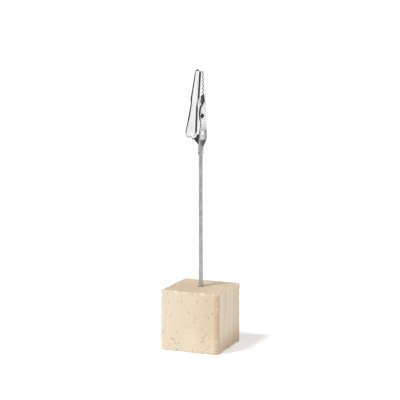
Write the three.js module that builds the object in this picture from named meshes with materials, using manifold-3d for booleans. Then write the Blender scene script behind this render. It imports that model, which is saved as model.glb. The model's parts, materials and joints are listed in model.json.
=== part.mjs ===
// Wooden clip stand: a wooden cube carries an upright steel rod, with a toothed spring clip crimped on top.
// Millimetres, +Z up. The origin is the centre of the cube's underside, and its front face looks along -Y.
import * as THREE from "three";
import { mergeVertices } from "three/addons/utils/BufferGeometryUtils.js";
import Module from "manifold-3d";

// Wooden cube
const BLOCK_SIDE = 25;
const BLOCK_EDGE_RADIUS = 0.5;
const BLOCK_BEVEL_SHARE = 0.9; // how much of that radius the top and bottom edges take
const SOCKET_DEPTH = 15;

// Rod
const ROD_DIAMETER = 1.8;
const ROD_SHOWN = 54.6; // from the cube's top to the clip's crimp
const ROD_CHAMFER = 0.2;
const ROD_PAST_RIVET = 1.6; // how far the rod runs on above the rivet that traps it
const ROD_FIT = 0.12; // gap round the rod and under its foot, in the cube and in the crimp

// Clip: lengths run along the rod from the pivot, and "out" is the way from the rod's axis towards the lever
const CLIP_TURN_DEG = 28; // the lever's turn from the cube's front face towards its left side
const SHEET = 0.35;
const BEND_RADIUS = 0.7;
const JAW_LENGTH = 19;
const LEVER_LENGTH = 8.9;
const TAIL_LENGTH = 15.9;
const PIVOT_OUT = 1.5;
const SIDE_GAP = 0.15; // between the nested side walls of the two jaws

// Outer widths of the sheet metal
const TIP_WIDTH = 3.5;
const JAW_WIDTH = 5.6;
const WAIST_WIDTH = 4.6; // of the lever, over the ears
const NECK_WIDTH = 4; // over the tabs that the ears take between them
const TAIL_WIDTH = 5.3;

// Teeth and throat
const BITE_OUT = 0.35; // the line where the jaws meet, at the tip
const BITE_LEAN_DEG = 3.5; // its lean out, down from there
const BITE_GAP = 0.36;
const NOSE_LAND = 1.1; // the lever's nose beyond its first tooth
const FIXED_NOSE_LAND = 0.3;
const TOOTH_COUNT = 6;
const TOOTH_PITCH = 1.5;
const TOOTH_DEPTH = 0.5;
const THROAT_LEVER_SIDE = 1.05; // the throat's reach on each side of the bite line
const THROAT_FIXED_SIDE = 0.8;
const THROAT_FIXED_CORNER = 0.35; // shares of the throat's length, up from the ears
const THROAT_LEVER_FOOT = 0.3;
const THROAT_LEVER_TOP = 0.8;
const JAW_WIDEST_AT = 0.45;

// Lever jaw
const LEVER_TIP_OUT = 1.75;
const LEVER_TRAVEL = 2.9; // free way between the lever's end and the top of the tail's lobes
const LEVER_CLEARANCE = 0.18; // between the lever's flanges and the rivet heads they pass
const LEVER_CORNER = 2.2;
const EAR_TAB_RADIUS = 1.35; // the tabs that reach in from the lever to the pivot
const EAR_TAB_FROM_DEG = 120; // the arc that they follow round it, from the lever's side over the top
const EAR_TAB_TO_DEG = 270;
const EAR_TAB_DROP = 3.4; // how far they run below it
const EAR_CLEARANCE = 0.36; // between the lever's flanges and the ears they stand over
const FLANGE_DROP = 2.7; // where the lever's flanges start to pass outside the fixed jaw, below the pivot
const FLANGE_ROOT = 2.3; // depth of the flanges there, by the lever's corners and at its end
const FLANGE_CORNER = 1.7;
const FLANGE_END = 0.45;

// Side walls, taper and crimp of the fixed jaw
const BACK_LEAN_DEG = 2.6; // the back's lean towards the bite line, from the foot of the ears up
const EAR_MARGIN = 0.85; // the ear's height over the pivot
const EAR_HALF_LENGTH = 4.2;
const EAR_END_DEG = 60; // where the ear's arc stops, at the notch
const LOBE_MARGIN = 1.1; // the lobe's height over the rod rivet
const LOBE_LENGTH = 6;
const TAPER_LENGTH = 2.9;
const CRIMP_LENGTH = 3.4;
const SEAM_WIDTH = 0.3;
const SEAM_TURN_DEG = 50;
const SEAM_TILT_DEG = 38;

// Rivets
const RIVET_GAP = 0.12; // round a shank, under a head and beside the rod
const PIVOT_SHANK = 1.1;
const PIVOT_BORE = 0.7; // the pivot is a tubular rivet
const PIVOT_HEAD = 1.9;
const PIVOT_HEAD_HEIGHT = 0.45;
const ROD_RIVET_SHANK = 1.3;
const ROD_RIVET_HEAD = 1.9;
const ROD_RIVET_HEAD_HEIGHT = 0.3;
const ROD_RIVET_DROP = 6.9; // below the pivot

// Torsion spring
const WIRE = 0.5;
const SPRING_TURNS = 2; // whole turns, besides the part turn between its two legs
const SPRING_GAP = 0.2; // round the shank, and between a leg and the sheet that it presses
const LEVER_LEG_SHARE = 0.7; // how far down the lever one leg reaches
const TAIL_LEG_DROP = 4; // how far the other one reaches below the pivot

const ROUND_SIDES = 24;
const PROFILE_STEPS = 14; // along each curve of a side profile
const CUT_REACH = 5; // how far a cutting solid runs past what it cuts

// Fits and places that follow from the sizes above
const rodRadius = ROD_DIAMETER / 2;
const rodBore = rodRadius + ROD_FIT;
const crimpRadius = rodBore + SHEET;
const crimpTop = CRIMP_LENGTH - TAIL_LENGTH;
const pivotHeight = BLOCK_SIDE + ROD_SHOWN + TAIL_LENGTH;
const rodRivetOut = rodRadius + RIVET_GAP + ROD_RIVET_SHANK / 2;
const rodTop = ROD_PAST_RIVET - ROD_RIVET_DROP;
const lobeTop = rodRivetOut + LOBE_MARGIN;
const earWidth = NECK_WIDTH + 2 * (SIDE_GAP + SHEET);
const earTop = PIVOT_OUT + EAR_MARGIN;
const leverWidth = TAIL_WIDTH + 2 * (RIVET_GAP + ROD_RIVET_HEAD_HEIGHT + LEVER_CLEARANCE + SHEET);
const leverEndOut = lobeTop + LEVER_TRAVEL + SHEET;
const leverSlope = (leverEndOut - LEVER_TIP_OUT) / (JAW_LENGTH + LEVER_LENGTH);
const earFoot = -EAR_HALF_LENGTH / 2;
const teethTop = JAW_LENGTH - NOSE_LAND;
const throatLength = teethTop - TOOTH_COUNT * TOOTH_PITCH - EAR_HALF_LENGTH;
const jawWidest = EAR_HALF_LENGTH + JAW_WIDEST_AT * throatLength;
const leverLegDrop = LEVER_LEG_SHARE * LEVER_LENGTH;
const coilRadius = PIVOT_SHANK / 2 + SPRING_GAP + WIRE / 2;
const coilHalfLength = NECK_WIDTH / 2 - SHEET - SIDE_GAP - WIRE / 2;

const X = new THREE.Vector3(1, 0, 0);
const Y = new THREE.Vector3(0, 1, 0);
const Z = new THREE.Vector3(0, 0, 1);
const rad = THREE.MathUtils.degToRad;

const wasm = await Module();
wasm.setup();

// A closed geometry as a solid that can be joined and cut.
function solid(geometry) {
  const bare = geometry.clone();
  bare.deleteAttribute("normal");
  bare.deleteAttribute("uv");
  const merged = mergeVertices(bare);
  const mesh = new wasm.Mesh({
    numProp: 3,
    vertProperties: merged.attributes.position.array,
    triVerts: new Uint32Array(merged.index.array),
  });
  return new wasm.Manifold(mesh);
}

// A solid's surface as a geometry.
function surface(made) {
  const { vertProperties, triVerts } = made.getMesh();
  const geometry = new THREE.BufferGeometry();
  geometry.setAttribute("position", new THREE.BufferAttribute(vertProperties, 3));
  geometry.setIndex(new THREE.BufferAttribute(triVerts, 1));
  return geometry;
}

// A round piece turned about Z, from (radius, height) pairs that run upwards from axis to axis.
function turned(profile) {
  const points = profile.map(([radius, height]) => new THREE.Vector2(radius, height));
  return new THREE.LatheGeometry(points, ROUND_SIDES).rotateX(Math.PI / 2);
}

function roundBar(radius, from, to) {
  const profile = [
    [0, from],
    [radius, from],
    [radius, to],
    [0, to],
  ];
  return turned(profile);
}

// A round bar across the clip, through the point (out, up).
function crossBar(radius, length, out, up) {
  return roundBar(radius, -length / 2, length / 2).rotateY(Math.PI / 2).translate(0, out, up);
}

// A side profile, drawn as (out, up), made a slab of some thickness that starts at a place across the clip.
function sideSlab(profile, thickness, from) {
  const slab = new THREE.ExtrudeGeometry(profile, {
    depth: thickness,
    bevelEnabled: false,
    curveSegments: PROFILE_STEPS,
  });
  return slab.translate(0, 0, from).applyMatrix4(new THREE.Matrix4().makeBasis(Y, Z, X));
}

// A side profile carried right across the clip.
function acrossClip(profile) {
  const reach = leverWidth + earWidth + CUT_REACH;
  return sideSlab(profile, reach, -reach / 2);
}

// An outline, drawn as (across, up), pressed to a slab with bent edges, whose outer face lies at Y = 0.
function pressed(outline, depth, bend) {
  const slab = new THREE.ExtrudeGeometry(outline, {
    depth: depth - 2 * bend,
    bevelSize: bend,
    bevelOffset: -bend,
    bevelThickness: bend,
    bevelSegments: 3,
    curveSegments: 8,
  });
  const towardsFace = new THREE.Vector3(0, -1, 0);
  return slab.translate(0, 0, bend - depth).applyMatrix4(new THREE.Matrix4().makeBasis(X, Z, towardsFace));
}

// Sheet metal folded to a tray: outline(inset) gives its outer edge, and its inner one a sheet further in.
function tray(outline, depth) {
  const outer = pressed(outline(0), depth, BEND_RADIUS);
  const inner = pressed(outline(SHEET), depth, BEND_RADIUS - SHEET).translate(0, SHEET, 0);
  return [outer, inner];
}

// Where each jaw's bite line lies at a height above the pivot.
function fixedBite(up) {
  return BITE_OUT + Math.tan(rad(BITE_LEAN_DEG)) * (JAW_LENGTH - up) - BITE_GAP / 2;
}

function leverBite(up) {
  return fixedBite(up) + BITE_GAP;
}

// Tooth tips and roots from the nose down, on both sides of a bite line.
function toothLine(bite) {
  const points = [];
  for (let i = 0; i <= 2 * TOOTH_COUNT; i += 1) {
    const side = i % 2 === 0 ? -1 : 1;
    const up = teethTop - (i * TOOTH_PITCH) / 2;
    points.push([bite(up) + (side * TOOTH_DEPTH) / 2, up]);
  }
  return points;
}

// Where the lever plate's outer face lies at a height above or below the pivot.
function leverOut(up) {
  return LEVER_TIP_OUT + leverSlope * (JAW_LENGTH - up);
}

function woodBlock() {
  const corner = BLOCK_SIDE / 2 - BLOCK_EDGE_RADIUS;
  const square = new THREE.Shape();
  square.absarc(corner, corner, BLOCK_EDGE_RADIUS, 0, Math.PI / 2);
  square.absarc(-corner, corner, BLOCK_EDGE_RADIUS, Math.PI / 2, Math.PI);
  square.absarc(-corner, -corner, BLOCK_EDGE_RADIUS, Math.PI, 1.5 * Math.PI);
  square.absarc(corner, -corner, BLOCK_EDGE_RADIUS, 1.5 * Math.PI, 2 * Math.PI);
  const bevel = BLOCK_BEVEL_SHARE * BLOCK_EDGE_RADIUS;
  const cube = new THREE.ExtrudeGeometry(square, {
    depth: BLOCK_SIDE - 2 * bevel,
    bevelSize: bevel,
    bevelOffset: -bevel,
    bevelThickness: bevel,
    bevelSegments: 3,
    curveSegments: 4,
  }).translate(0, 0, bevel);
  const socket = roundBar(rodBore, BLOCK_SIDE - SOCKET_DEPTH, BLOCK_SIDE + CUT_REACH);
  return surface(solid(cube).subtract(solid(socket)));
}

function rod() {
  const foot = BLOCK_SIDE - SOCKET_DEPTH + ROD_FIT;
  const top = pivotHeight + rodTop;
  const profile = [
    [0, foot],
    [rodRadius - ROD_CHAMFER, foot],
    [rodRadius, foot + ROD_CHAMFER],
    [rodRadius, top - ROD_CHAMFER],
    [rodRadius - ROD_CHAMFER, top],
    [0, top],
  ];
  return turned(profile);
}

// The fixed jaw seen from the lever: crimp end, taper, tail, ears and the narrowing snout.
function fixedOutline(inset) {
  const halves = [
    [crimpRadius, crimpTop - inset],
    [TAIL_WIDTH / 2, crimpTop + TAPER_LENGTH],
    [TAIL_WIDTH / 2, -EAR_HALF_LENGTH],
    [earWidth / 2, earFoot],
    [earWidth / 2, EAR_HALF_LENGTH],
    [JAW_WIDTH / 2, jawWidest],
    [TIP_WIDTH / 2, teethTop + FIXED_NOSE_LAND - inset],
  ];
  const right = halves.map(([half, up]) => new THREE.Vector2(half - inset, up));
  const left = right.map((point) => new THREE.Vector2(-point.x, point.y)).reverse();
  return new THREE.Shape([...right, ...left]);
}

// The fixed jaw seen from its side: teeth, throat, the pivot's ear, the rod rivet's lobe, and the taper.
function fixedProfile() {
  const behind = -crimpRadius - CUT_REACH;
  const cornerUp = EAR_HALF_LENGTH + THROAT_FIXED_CORNER * throatLength;
  const earRoot = fixedBite(EAR_HALF_LENGTH);
  const quarter = Math.PI / 2;
  const profile = new THREE.Shape();
  profile.moveTo(behind, JAW_LENGTH + CUT_REACH);
  profile.lineTo(fixedBite(JAW_LENGTH) - TOOTH_DEPTH / 2, JAW_LENGTH + CUT_REACH);
  toothLine(fixedBite).forEach(([out, up]) => profile.lineTo(out, up));
  profile.lineTo(fixedBite(cornerUp) - THROAT_FIXED_SIDE, cornerUp);
  profile.absellipse(earRoot, 0, earTop - earRoot, EAR_HALF_LENGTH, quarter, -rad(EAR_END_DEG), true);
  profile.absellipse(rodRivetOut, -ROD_RIVET_DROP, LOBE_MARGIN, LOBE_LENGTH / 2, quarter, -quarter, true);
  profile.lineTo(0, crimpTop);
  profile.lineTo(0, -TAIL_LENGTH);
  profile.lineTo(behind, -TAIL_LENGTH);
  return profile;
}

// The crimp's slanted seam, where its two tabs meet round the rod.
function seam() {
  const length = CRIMP_LENGTH / Math.cos(rad(SEAM_TILT_DEG)) + CUT_REACH;
  const reach = crimpRadius + CUT_REACH;
  const slot = new THREE.BoxGeometry(SEAM_WIDTH, reach, length).translate(0, reach / 2, 0);
  slot.rotateY(-rad(SEAM_TILT_DEG)).rotateZ(rad(SEAM_TURN_DEG));
  return slot.translate(0, 0, crimpTop - CRIMP_LENGTH / 2);
}

// The fixed jaw's folded shell, with its back leaning out or upright.
function fixedShell(lean) {
  const [skin, hollow] = tray(fixedOutline, lobeTop + crimpRadius + CUT_REACH).map((slab) => {
    slab.applyMatrix4(new THREE.Matrix4().makeShear(0, 0, 0, 0, 0, lean));
    return solid(slab.translate(0, -crimpRadius - lean * earFoot, 0));
  });
  return skin.subtract(hollow);
}

function fixedJaw() {
  const reach = 2 * (JAW_LENGTH + CUT_REACH);
  const above = solid(new THREE.BoxGeometry(reach, reach, reach).translate(0, 0, earFoot + reach / 2));
  const snout = fixedShell(Math.tan(rad(BACK_LEAN_DEG))).intersect(above);
  const shell = fixedShell(0).subtract(above).add(snout);
  const channel = shell.intersect(solid(acrossClip(fixedProfile())));
  const crimpEnd = crimpTop + SHEET;
  const crimp = solid(roundBar(crimpRadius, -TAIL_LENGTH, crimpEnd)).subtract(solid(seam()));
  const bore = solid(roundBar(rodBore, -TAIL_LENGTH - CUT_REACH, crimpEnd + SHEET));
  const pivotHole = solid(crossBar(PIVOT_SHANK / 2 + RIVET_GAP, earWidth + CUT_REACH, PIVOT_OUT, 0));
  const rivetRadius = ROD_RIVET_SHANK / 2 + RIVET_GAP;
  const rivetHole = solid(crossBar(rivetRadius, TAIL_WIDTH + CUT_REACH, rodRivetOut, -ROD_RIVET_DROP));
  return surface(channel.add(crimp).subtract(bore).subtract(pivotHole).subtract(rivetHole));
}

// The lever jaw seen from outside: the rounded thumb end, the flare from the waist, and the snout.
function leverOutline(inset) {
  const waist = WAIST_WIDTH / 2 - inset;
  const wide = leverWidth / 2 - inset;
  const corner = LEVER_CORNER - inset;
  const end = inset - LEVER_LENGTH;
  const flareEnd = end + corner;
  const outline = new THREE.Shape();
  outline.absarc(wide - corner, flareEnd, corner, -Math.PI / 2, 0);
  outline.lineTo(waist, EAR_HALF_LENGTH + SIDE_GAP);
  outline.lineTo(JAW_WIDTH / 2 - inset, jawWidest);
  outline.lineTo(TIP_WIDTH / 2 - inset, JAW_LENGTH - inset);
  outline.lineTo(inset - TIP_WIDTH / 2, JAW_LENGTH - inset);
  outline.lineTo(inset - JAW_WIDTH / 2, jawWidest);
  outline.lineTo(-waist, EAR_HALF_LENGTH + SIDE_GAP);
  outline.absarc(corner - wide, flareEnd, corner, Math.PI, 1.5 * Math.PI);
  return outline;
}

// The lever jaw seen from its side: teeth, throat, the room over the ears, and flanges that run out below.
function leverProfile() {
  const beyond = leverEndOut + CUT_REACH;
  const throatTop = EAR_HALF_LENGTH + THROAT_LEVER_TOP * throatLength;
  const throatFoot = EAR_HALF_LENGTH + THROAT_LEVER_FOOT * throatLength;
  const cornerUp = LEVER_CORNER - LEVER_LENGTH;
  const earRoot = leverBite(EAR_HALF_LENGTH);
  const earRise = earTop + EAR_CLEARANCE - earRoot;
  const profile = new THREE.Shape();
  profile.moveTo(beyond, JAW_LENGTH + CUT_REACH);
  profile.lineTo(leverBite(JAW_LENGTH) - TOOTH_DEPTH / 2, JAW_LENGTH + CUT_REACH);
  toothLine(leverBite).forEach(([out, up]) => profile.lineTo(out, up));
  profile.lineTo(leverBite(throatTop) + THROAT_LEVER_SIDE, throatTop);
  profile.lineTo(leverBite(throatFoot) + THROAT_LEVER_SIDE, throatFoot);
  profile.absellipse(earRoot, 0, earRise, EAR_HALF_LENGTH + EAR_CLEARANCE, Math.PI / 2, 0, true);
  profile.lineTo(leverOut(-FLANGE_DROP) - FLANGE_ROOT, -FLANGE_DROP);
  profile.lineTo(leverOut(cornerUp) - FLANGE_CORNER, cornerUp);
  profile.lineTo(leverEndOut - FLANGE_END, -LEVER_LENGTH);
  profile.lineTo(leverEndOut - FLANGE_END, -LEVER_LENGTH - CUT_REACH);
  profile.lineTo(beyond, -LEVER_LENGTH - CUT_REACH);
  return profile;
}

// One of the two flat tabs that run from under the lever plate, inside the fixed jaw's ears, round the pivot.
function earTab(side) {
  const profile = new THREE.Shape();
  profile.moveTo(leverOut(EAR_HALF_LENGTH) - SHEET / 2, EAR_HALF_LENGTH);
  profile.lineTo(leverBite(EAR_HALF_LENGTH) + EAR_CLEARANCE, EAR_HALF_LENGTH);
  profile.absarc(PIVOT_OUT, 0, EAR_TAB_RADIUS, rad(EAR_TAB_FROM_DEG), rad(EAR_TAB_TO_DEG), false);
  profile.lineTo(PIVOT_OUT, -EAR_TAB_DROP);
  profile.lineTo(leverOut(-EAR_TAB_DROP) - SHEET / 2, -EAR_TAB_DROP);
  return sideSlab(profile, SHEET, (side * (NECK_WIDTH - SHEET) - SHEET) / 2);
}

function leverJaw() {
  const tilt = Math.atan(leverSlope);
  const [skin, hollow] = tray(leverOutline, leverEndOut + crimpRadius + CUT_REACH).map((slab) => {
    slab.rotateZ(Math.PI).scale(1, 1, 1 / Math.cos(tilt)).rotateX(tilt);
    return solid(slab.translate(0, leverOut(0), 0));
  });
  const plate = skin.subtract(hollow).intersect(solid(acrossClip(leverProfile())));
  const pivotHole = solid(crossBar(PIVOT_SHANK / 2 + RIVET_GAP, NECK_WIDTH + CUT_REACH, PIVOT_OUT, 0));
  const tabs = solid(earTab(-1)).add(solid(earTab(1))).intersect(skin);
  return surface(plate.add(tabs).subtract(pivotHole));
}

// A rivet along X: a shank between two domed heads, whose undersides are a grip apart.
function rivet(shank, head, headHeight, grip) {
  const domeSteps = 4;
  const dome = [];
  for (let i = 0; i <= domeSteps; i += 1) {
    const angle = (i / domeSteps) * (Math.PI / 2);
    dome.push([(head / 2) * Math.sin(angle), grip / 2 + headHeight * Math.cos(angle)]);
  }
  const lower = dome.map(([radius, height]) => [radius, -height]);
  const profile = [...lower, [shank / 2, -grip / 2], [shank / 2, grip / 2], ...dome.reverse()];
  return turned(profile).rotateY(Math.PI / 2);
}

// The angle at which a line from (out, up) touches the coil, measured round the pivot from the lever's side.
function tangentAngle(out, up, side) {
  const reach = Math.hypot(out - PIVOT_OUT, up);
  return Math.atan2(up, out - PIVOT_OUT) + side * Math.acos(coilRadius / reach);
}

// The spring's centre line: up the lever leg, round the coil, and down the tail leg.
class SpringLine extends THREE.Curve {
  constructor() {
    super();
    const leverLegOut = leverOut(-leverLegDrop) - SHEET - SPRING_GAP - WIRE / 2;
    const tailLegOut = SPRING_GAP + WIRE / 2 - rodBore;
    this.leverEnd = new THREE.Vector3(-coilHalfLength, leverLegOut, -leverLegDrop);
    this.tailEnd = new THREE.Vector3(coilHalfLength, tailLegOut, -TAIL_LEG_DROP);
    this.first = tangentAngle(leverLegOut, -leverLegDrop, 1);
    this.last = tangentAngle(tailLegOut, -TAIL_LEG_DROP, -1) + 2 * Math.PI * (SPRING_TURNS + 1);
    const leverLeg = this.leverEnd.distanceTo(this.coilPoint(0));
    const tailLeg = this.tailEnd.distanceTo(this.coilPoint(1));
    this.coil = Math.hypot(coilRadius * (this.last - this.first), 2 * coilHalfLength);
    this.length = leverLeg + this.coil + tailLeg;
    this.coilFrom = leverLeg / this.length;
    this.coilTo = 1 - tailLeg / this.length;
  }

  coilPoint(share) {
    const angle = THREE.MathUtils.lerp(this.first, this.last, share);
    const out = PIVOT_OUT + coilRadius * Math.cos(angle);
    return new THREE.Vector3(coilHalfLength * (2 * share - 1), out, coilRadius * Math.sin(angle));
  }

  getPoint(t, target = new THREE.Vector3()) {
    if (t < this.coilFrom) {
      return target.lerpVectors(this.leverEnd, this.coilPoint(0), t / this.coilFrom);
    }
    if (t > this.coilTo) {
      return target.lerpVectors(this.coilPoint(1), this.tailEnd, (t - this.coilTo) / (1 - this.coilTo));
    }
    return target.copy(this.coilPoint((t - this.coilFrom) / (this.coilTo - this.coilFrom)));
  }

  // The least gap between two stretches of wire that lie half a turn or more apart along it.
  leastGap() {
    const count = 400;
    const points = this.getSpacedPoints(count);
    const apart = Math.ceil((Math.PI * coilRadius * count) / this.length);
    let least = Infinity;
    for (let i = 0; i <= count; i += 1) {
      for (let j = i + apart; j <= count; j += 1) {
        least = Math.min(least, points[i].distanceTo(points[j]) - WIRE);
      }
    }
    return least;
  }
}

function jawSpring() {
  const wireSides = 5;
  const stepsPerTurn = 8;
  const line = new SpringLine();
  const section = new THREE.Shape();
  section.absarc(0, 0, WIRE / 2, 0, 2 * Math.PI);
  const steps = Math.round((line.length * stepsPerTurn) / (2 * Math.PI * coilRadius));
  console.log(`jaw_spring: least gap to itself ${line.leastGap().toFixed(2)} mm`);
  return new THREE.ExtrudeGeometry(section, { steps, extrudePath: line, curveSegments: wireSides });
}

function piece(name, geometry, color, roughness, metalness) {
  const mesh = new THREE.Mesh(geometry, new THREE.MeshStandardMaterial({ color, roughness, metalness }));
  mesh.name = name;
  return mesh;
}

function pivotRivet() {
  const grip = earWidth + 2 * RIVET_GAP;
  const bore = crossBar(PIVOT_BORE / 2, grip + CUT_REACH, 0, 0);
  return surface(solid(rivet(PIVOT_SHANK, PIVOT_HEAD, PIVOT_HEAD_HEIGHT, grip)).subtract(solid(bore)));
}

function rodRivet() {
  return rivet(ROD_RIVET_SHANK, ROD_RIVET_HEAD, ROD_RIVET_HEAD_HEIGHT, TAIL_WIDTH + 2 * RIVET_GAP);
}

const clip = new THREE.Group();
clip.position.z = pivotHeight;
clip.rotation.z = Math.PI - rad(CLIP_TURN_DEG);
clip.add(piece("fixed_jaw", fixedJaw(), 0xd8d8db, 0.15, 1));
clip.add(piece("lever_jaw", leverJaw(), 0xd8d8db, 0.15, 1));
clip.add(piece("pivot_rivet", pivotRivet(), 0xc9c9cc, 0.25, 1));
clip.add(piece("rod_rivet", rodRivet(), 0xc9c9cc, 0.25, 1));
clip.add(piece("jaw_spring", jawSpring(), 0x8d8e92, 0.35, 1));
clip.getObjectByName("pivot_rivet").position.y = PIVOT_OUT;
clip.getObjectByName("rod_rivet").position.set(0, rodRivetOut, -ROD_RIVET_DROP);

const stand = new THREE.Group();
stand.add(piece("wood_block", woodBlock(), 0xe6d2ad, 0.7, 0));
stand.add(piece("rod", rod(), 0xb7b7ba, 0.4, 1));
stand.add(clip);

export default stand;
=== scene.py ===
# %% [markdown]
# # A wooden clip stand
# A pale wooden cube carries a thin steel rod, and a toothed spring clip is crimped on the rod's end. The
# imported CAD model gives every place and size, and this lesson dresses it: each piece is a surface worked
# out with numpy, laid exactly over its CAD solid, and each finish is a small tree of nodes.

# %% load the frame
import json
import math

import bpy
import numpy as np
from mathutils import Matrix, Vector


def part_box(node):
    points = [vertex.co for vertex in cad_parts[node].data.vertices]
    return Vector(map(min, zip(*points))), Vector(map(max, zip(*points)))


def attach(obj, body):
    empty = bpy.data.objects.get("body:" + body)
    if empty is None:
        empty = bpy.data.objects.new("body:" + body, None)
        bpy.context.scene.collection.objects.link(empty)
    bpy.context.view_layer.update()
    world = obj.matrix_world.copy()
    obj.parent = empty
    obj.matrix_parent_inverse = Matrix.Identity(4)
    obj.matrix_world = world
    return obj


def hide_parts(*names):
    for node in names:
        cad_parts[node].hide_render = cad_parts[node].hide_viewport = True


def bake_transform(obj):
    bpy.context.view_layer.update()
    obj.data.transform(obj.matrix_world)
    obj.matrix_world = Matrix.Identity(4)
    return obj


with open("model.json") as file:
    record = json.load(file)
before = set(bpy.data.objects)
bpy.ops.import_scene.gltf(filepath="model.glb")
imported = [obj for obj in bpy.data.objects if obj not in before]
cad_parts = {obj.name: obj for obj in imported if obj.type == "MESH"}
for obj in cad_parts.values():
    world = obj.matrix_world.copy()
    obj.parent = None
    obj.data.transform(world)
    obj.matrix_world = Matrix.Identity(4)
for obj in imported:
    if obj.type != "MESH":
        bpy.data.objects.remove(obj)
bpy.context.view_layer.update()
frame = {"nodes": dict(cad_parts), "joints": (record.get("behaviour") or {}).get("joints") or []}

MM = 0.001

# %% [markdown]
# ## The clip's own axes
# The clip is turned on its rod, so its shapes are easier to write in axes of its own: across the jaws, out
# from the rod towards the lever, and up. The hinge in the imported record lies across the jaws, so it gives
# all three without measuring anything twice.

# %% axes of the clip
hinge = frame["joints"][0]
pivot = np.array(hinge["pos_m"])
across_axis = -np.array(hinge["axis"]) / np.linalg.norm(hinge["axis"])
up_axis = np.array([0.0, 0.0, 1.0])
clip_axes = np.stack([across_axis, np.cross(up_axis, across_axis), up_axis])
clip_origin = np.array([0.0, 0.0, pivot[2]])
PIVOT_OUT = float(pivot @ clip_axes[1]) / MM


def from_clip(points):
    """Points (across, out, up) in millimetres from the pivot's height, as points of the stand in metres."""
    return points @ clip_axes * MM + clip_origin


def node_points(node):
    """All points of a CAD node in the clip's axes, in millimetres."""
    mesh = frame["nodes"][node].data
    flat = np.empty(3 * len(mesh.vertices))
    mesh.vertices.foreach_get("co", flat)
    return (flat.reshape(-1, 3) - clip_origin) @ clip_axes.T / MM


def clip_box(node):
    """Lowest and highest corner of a CAD node in the clip's axes."""
    points = node_points(node)
    return points.min(0), points.max(0)


fixed_low, fixed_high = clip_box("fixed_jaw")
lever_low, lever_high = clip_box("lever_jaw")
print("pivot", round(PIVOT_OUT, 2), "mm out from the rod, lever", (lever_high - lever_low).round(2))

# %% [markdown]
# ## From a grid of points to a mesh
# Every piece here is a grid: one direction runs along the piece, the other round its section. Four
# neighbours make a face, so the faces are plain index arithmetic. Where a grid meets itself, at a pole or
# along a middle line, equal points are welded, and a face that lost a side becomes a triangle. The sign of
# the enclosed volume tells whether the faces point outwards.

# %% faces of a grid
def grid_faces(rows, columns, close_rows=False, close_columns=False):
    """Quads between neighbouring rows and columns of a grid that is numbered row by row."""
    row = np.arange(rows if close_rows else rows - 1)[:, None]
    column = np.arange(columns if close_columns else columns - 1)[None, :]
    next_row, next_column = (row + 1) % rows, (column + 1) % columns
    corners = [(row, column), (row, next_column), (next_row, next_column), (next_row, column)]
    return np.stack([(r * columns + c).ravel() for r, c in corners], axis=1)


print("a grid of 3 by 4 points has", len(grid_faces(3, 4)), "faces")

# %% welding
WELD = 1e-8


def welded(points, faces, marks):
    """Joins equal points, and turns a quad with two equal corners into a triangle."""
    keys = np.round(points / WELD).astype(np.int64)
    _, first, number = np.unique(keys, axis=0, return_index=True, return_inverse=True)
    faces = number.reshape(-1)[faces]
    same = faces == np.roll(faces, -1, axis=1)
    quads = faces[same.sum(1) == 0]
    once = same.sum(1) == 1
    keep = ~same[once]
    triangles = faces[once][keep].reshape(-1, 3)
    return points[first], quads, triangles, {name: mark[first] for name, mark in marks.items()}


def volume(points, faces):
    """Sum of the signed tetrahedra between the origin and each face's two triangles."""
    a, b, c, d = (points[faces[:, i]] for i in range(4))
    first = np.einsum("ij,ij->i", a, np.cross(b, c))
    second = np.einsum("ij,ij->i", a, np.cross(c, d))
    return (first.sum() + second.sum()) / 6


print("points closer than", WELD, "m become one")

# %% pieces
SHARP_DEG = 35


def make_piece(name, points, faces, marks=None):
    """A smooth mesh object from points in metres, quads and named marks on the points."""
    if volume(points, faces) < 0:
        faces = faces[:, ::-1]
    points, quads, triangles, marks = welded(points, faces, marks or {})
    mesh = bpy.data.meshes.new(name)
    mesh.from_pydata(points.tolist(), [], quads.tolist() + triangles.tolist())
    for mark, values in marks.items():
        layer = mesh.attributes.new(mark, "FLOAT", "POINT")
        layer.data.foreach_set("value", values.astype(np.float32))
    mesh.polygons.foreach_set("use_smooth", np.ones(len(mesh.polygons), bool))
    mesh.set_sharp_from_angle(angle=math.radians(SHARP_DEG))
    piece = bpy.data.objects.new(name, mesh)
    bpy.context.scene.collection.objects.link(piece)
    print(name, len(mesh.vertices), "points", len(mesh.polygons), "faces")
    return piece


print("edges over", SHARP_DEG, "degrees stay sharp")

# %% smooth steps
def ease(x, low, high):
    """0 below low, 1 above high, and between them three times the square of the way less twice its cube."""
    t = np.clip((x - low) / (high - low), 0, 1)
    return t * t * (3 - 2 * t)


def band(x, low, high, end_low, end_high):
    """1 in between, with a smooth start from low to high and a smooth end from end_low to end_high."""
    return ease(x, low, high) * (1 - ease(x, end_low, end_high))


print("a quarter of the way up a step:", round(float(ease(0.25, 0, 1)), 3))

# %% [markdown]
# ## Finishes as trees of nodes
# One helper adds a node, sets its values, and links a socket where it is given one, so that a finish reads
# like a recipe from top to bottom. Patterns use Object coordinates in millimetres, because the pieces stand
# at the origin and a pattern must not slide when they move.

# %% node helpers
def new_finish(name):
    """An empty material, its tree and its Principled shader."""
    finish = bpy.data.materials.new(name)
    finish.use_nodes = True
    return finish, finish.node_tree, finish.node_tree.nodes["Principled BSDF"]


def add(tree, kind, inputs=None, **settings):
    """A new node, with settings as its properties, and inputs as values or as sockets to link."""
    made = tree.nodes.new("ShaderNode" + kind)
    for name, value in settings.items():
        setattr(made, name, value)
    for key, value in (inputs or {}).items():
        if isinstance(value, bpy.types.NodeSocket):
            tree.links.new(value, made.inputs[key])
        else:
            made.inputs[key].default_value = value
    return made


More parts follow.
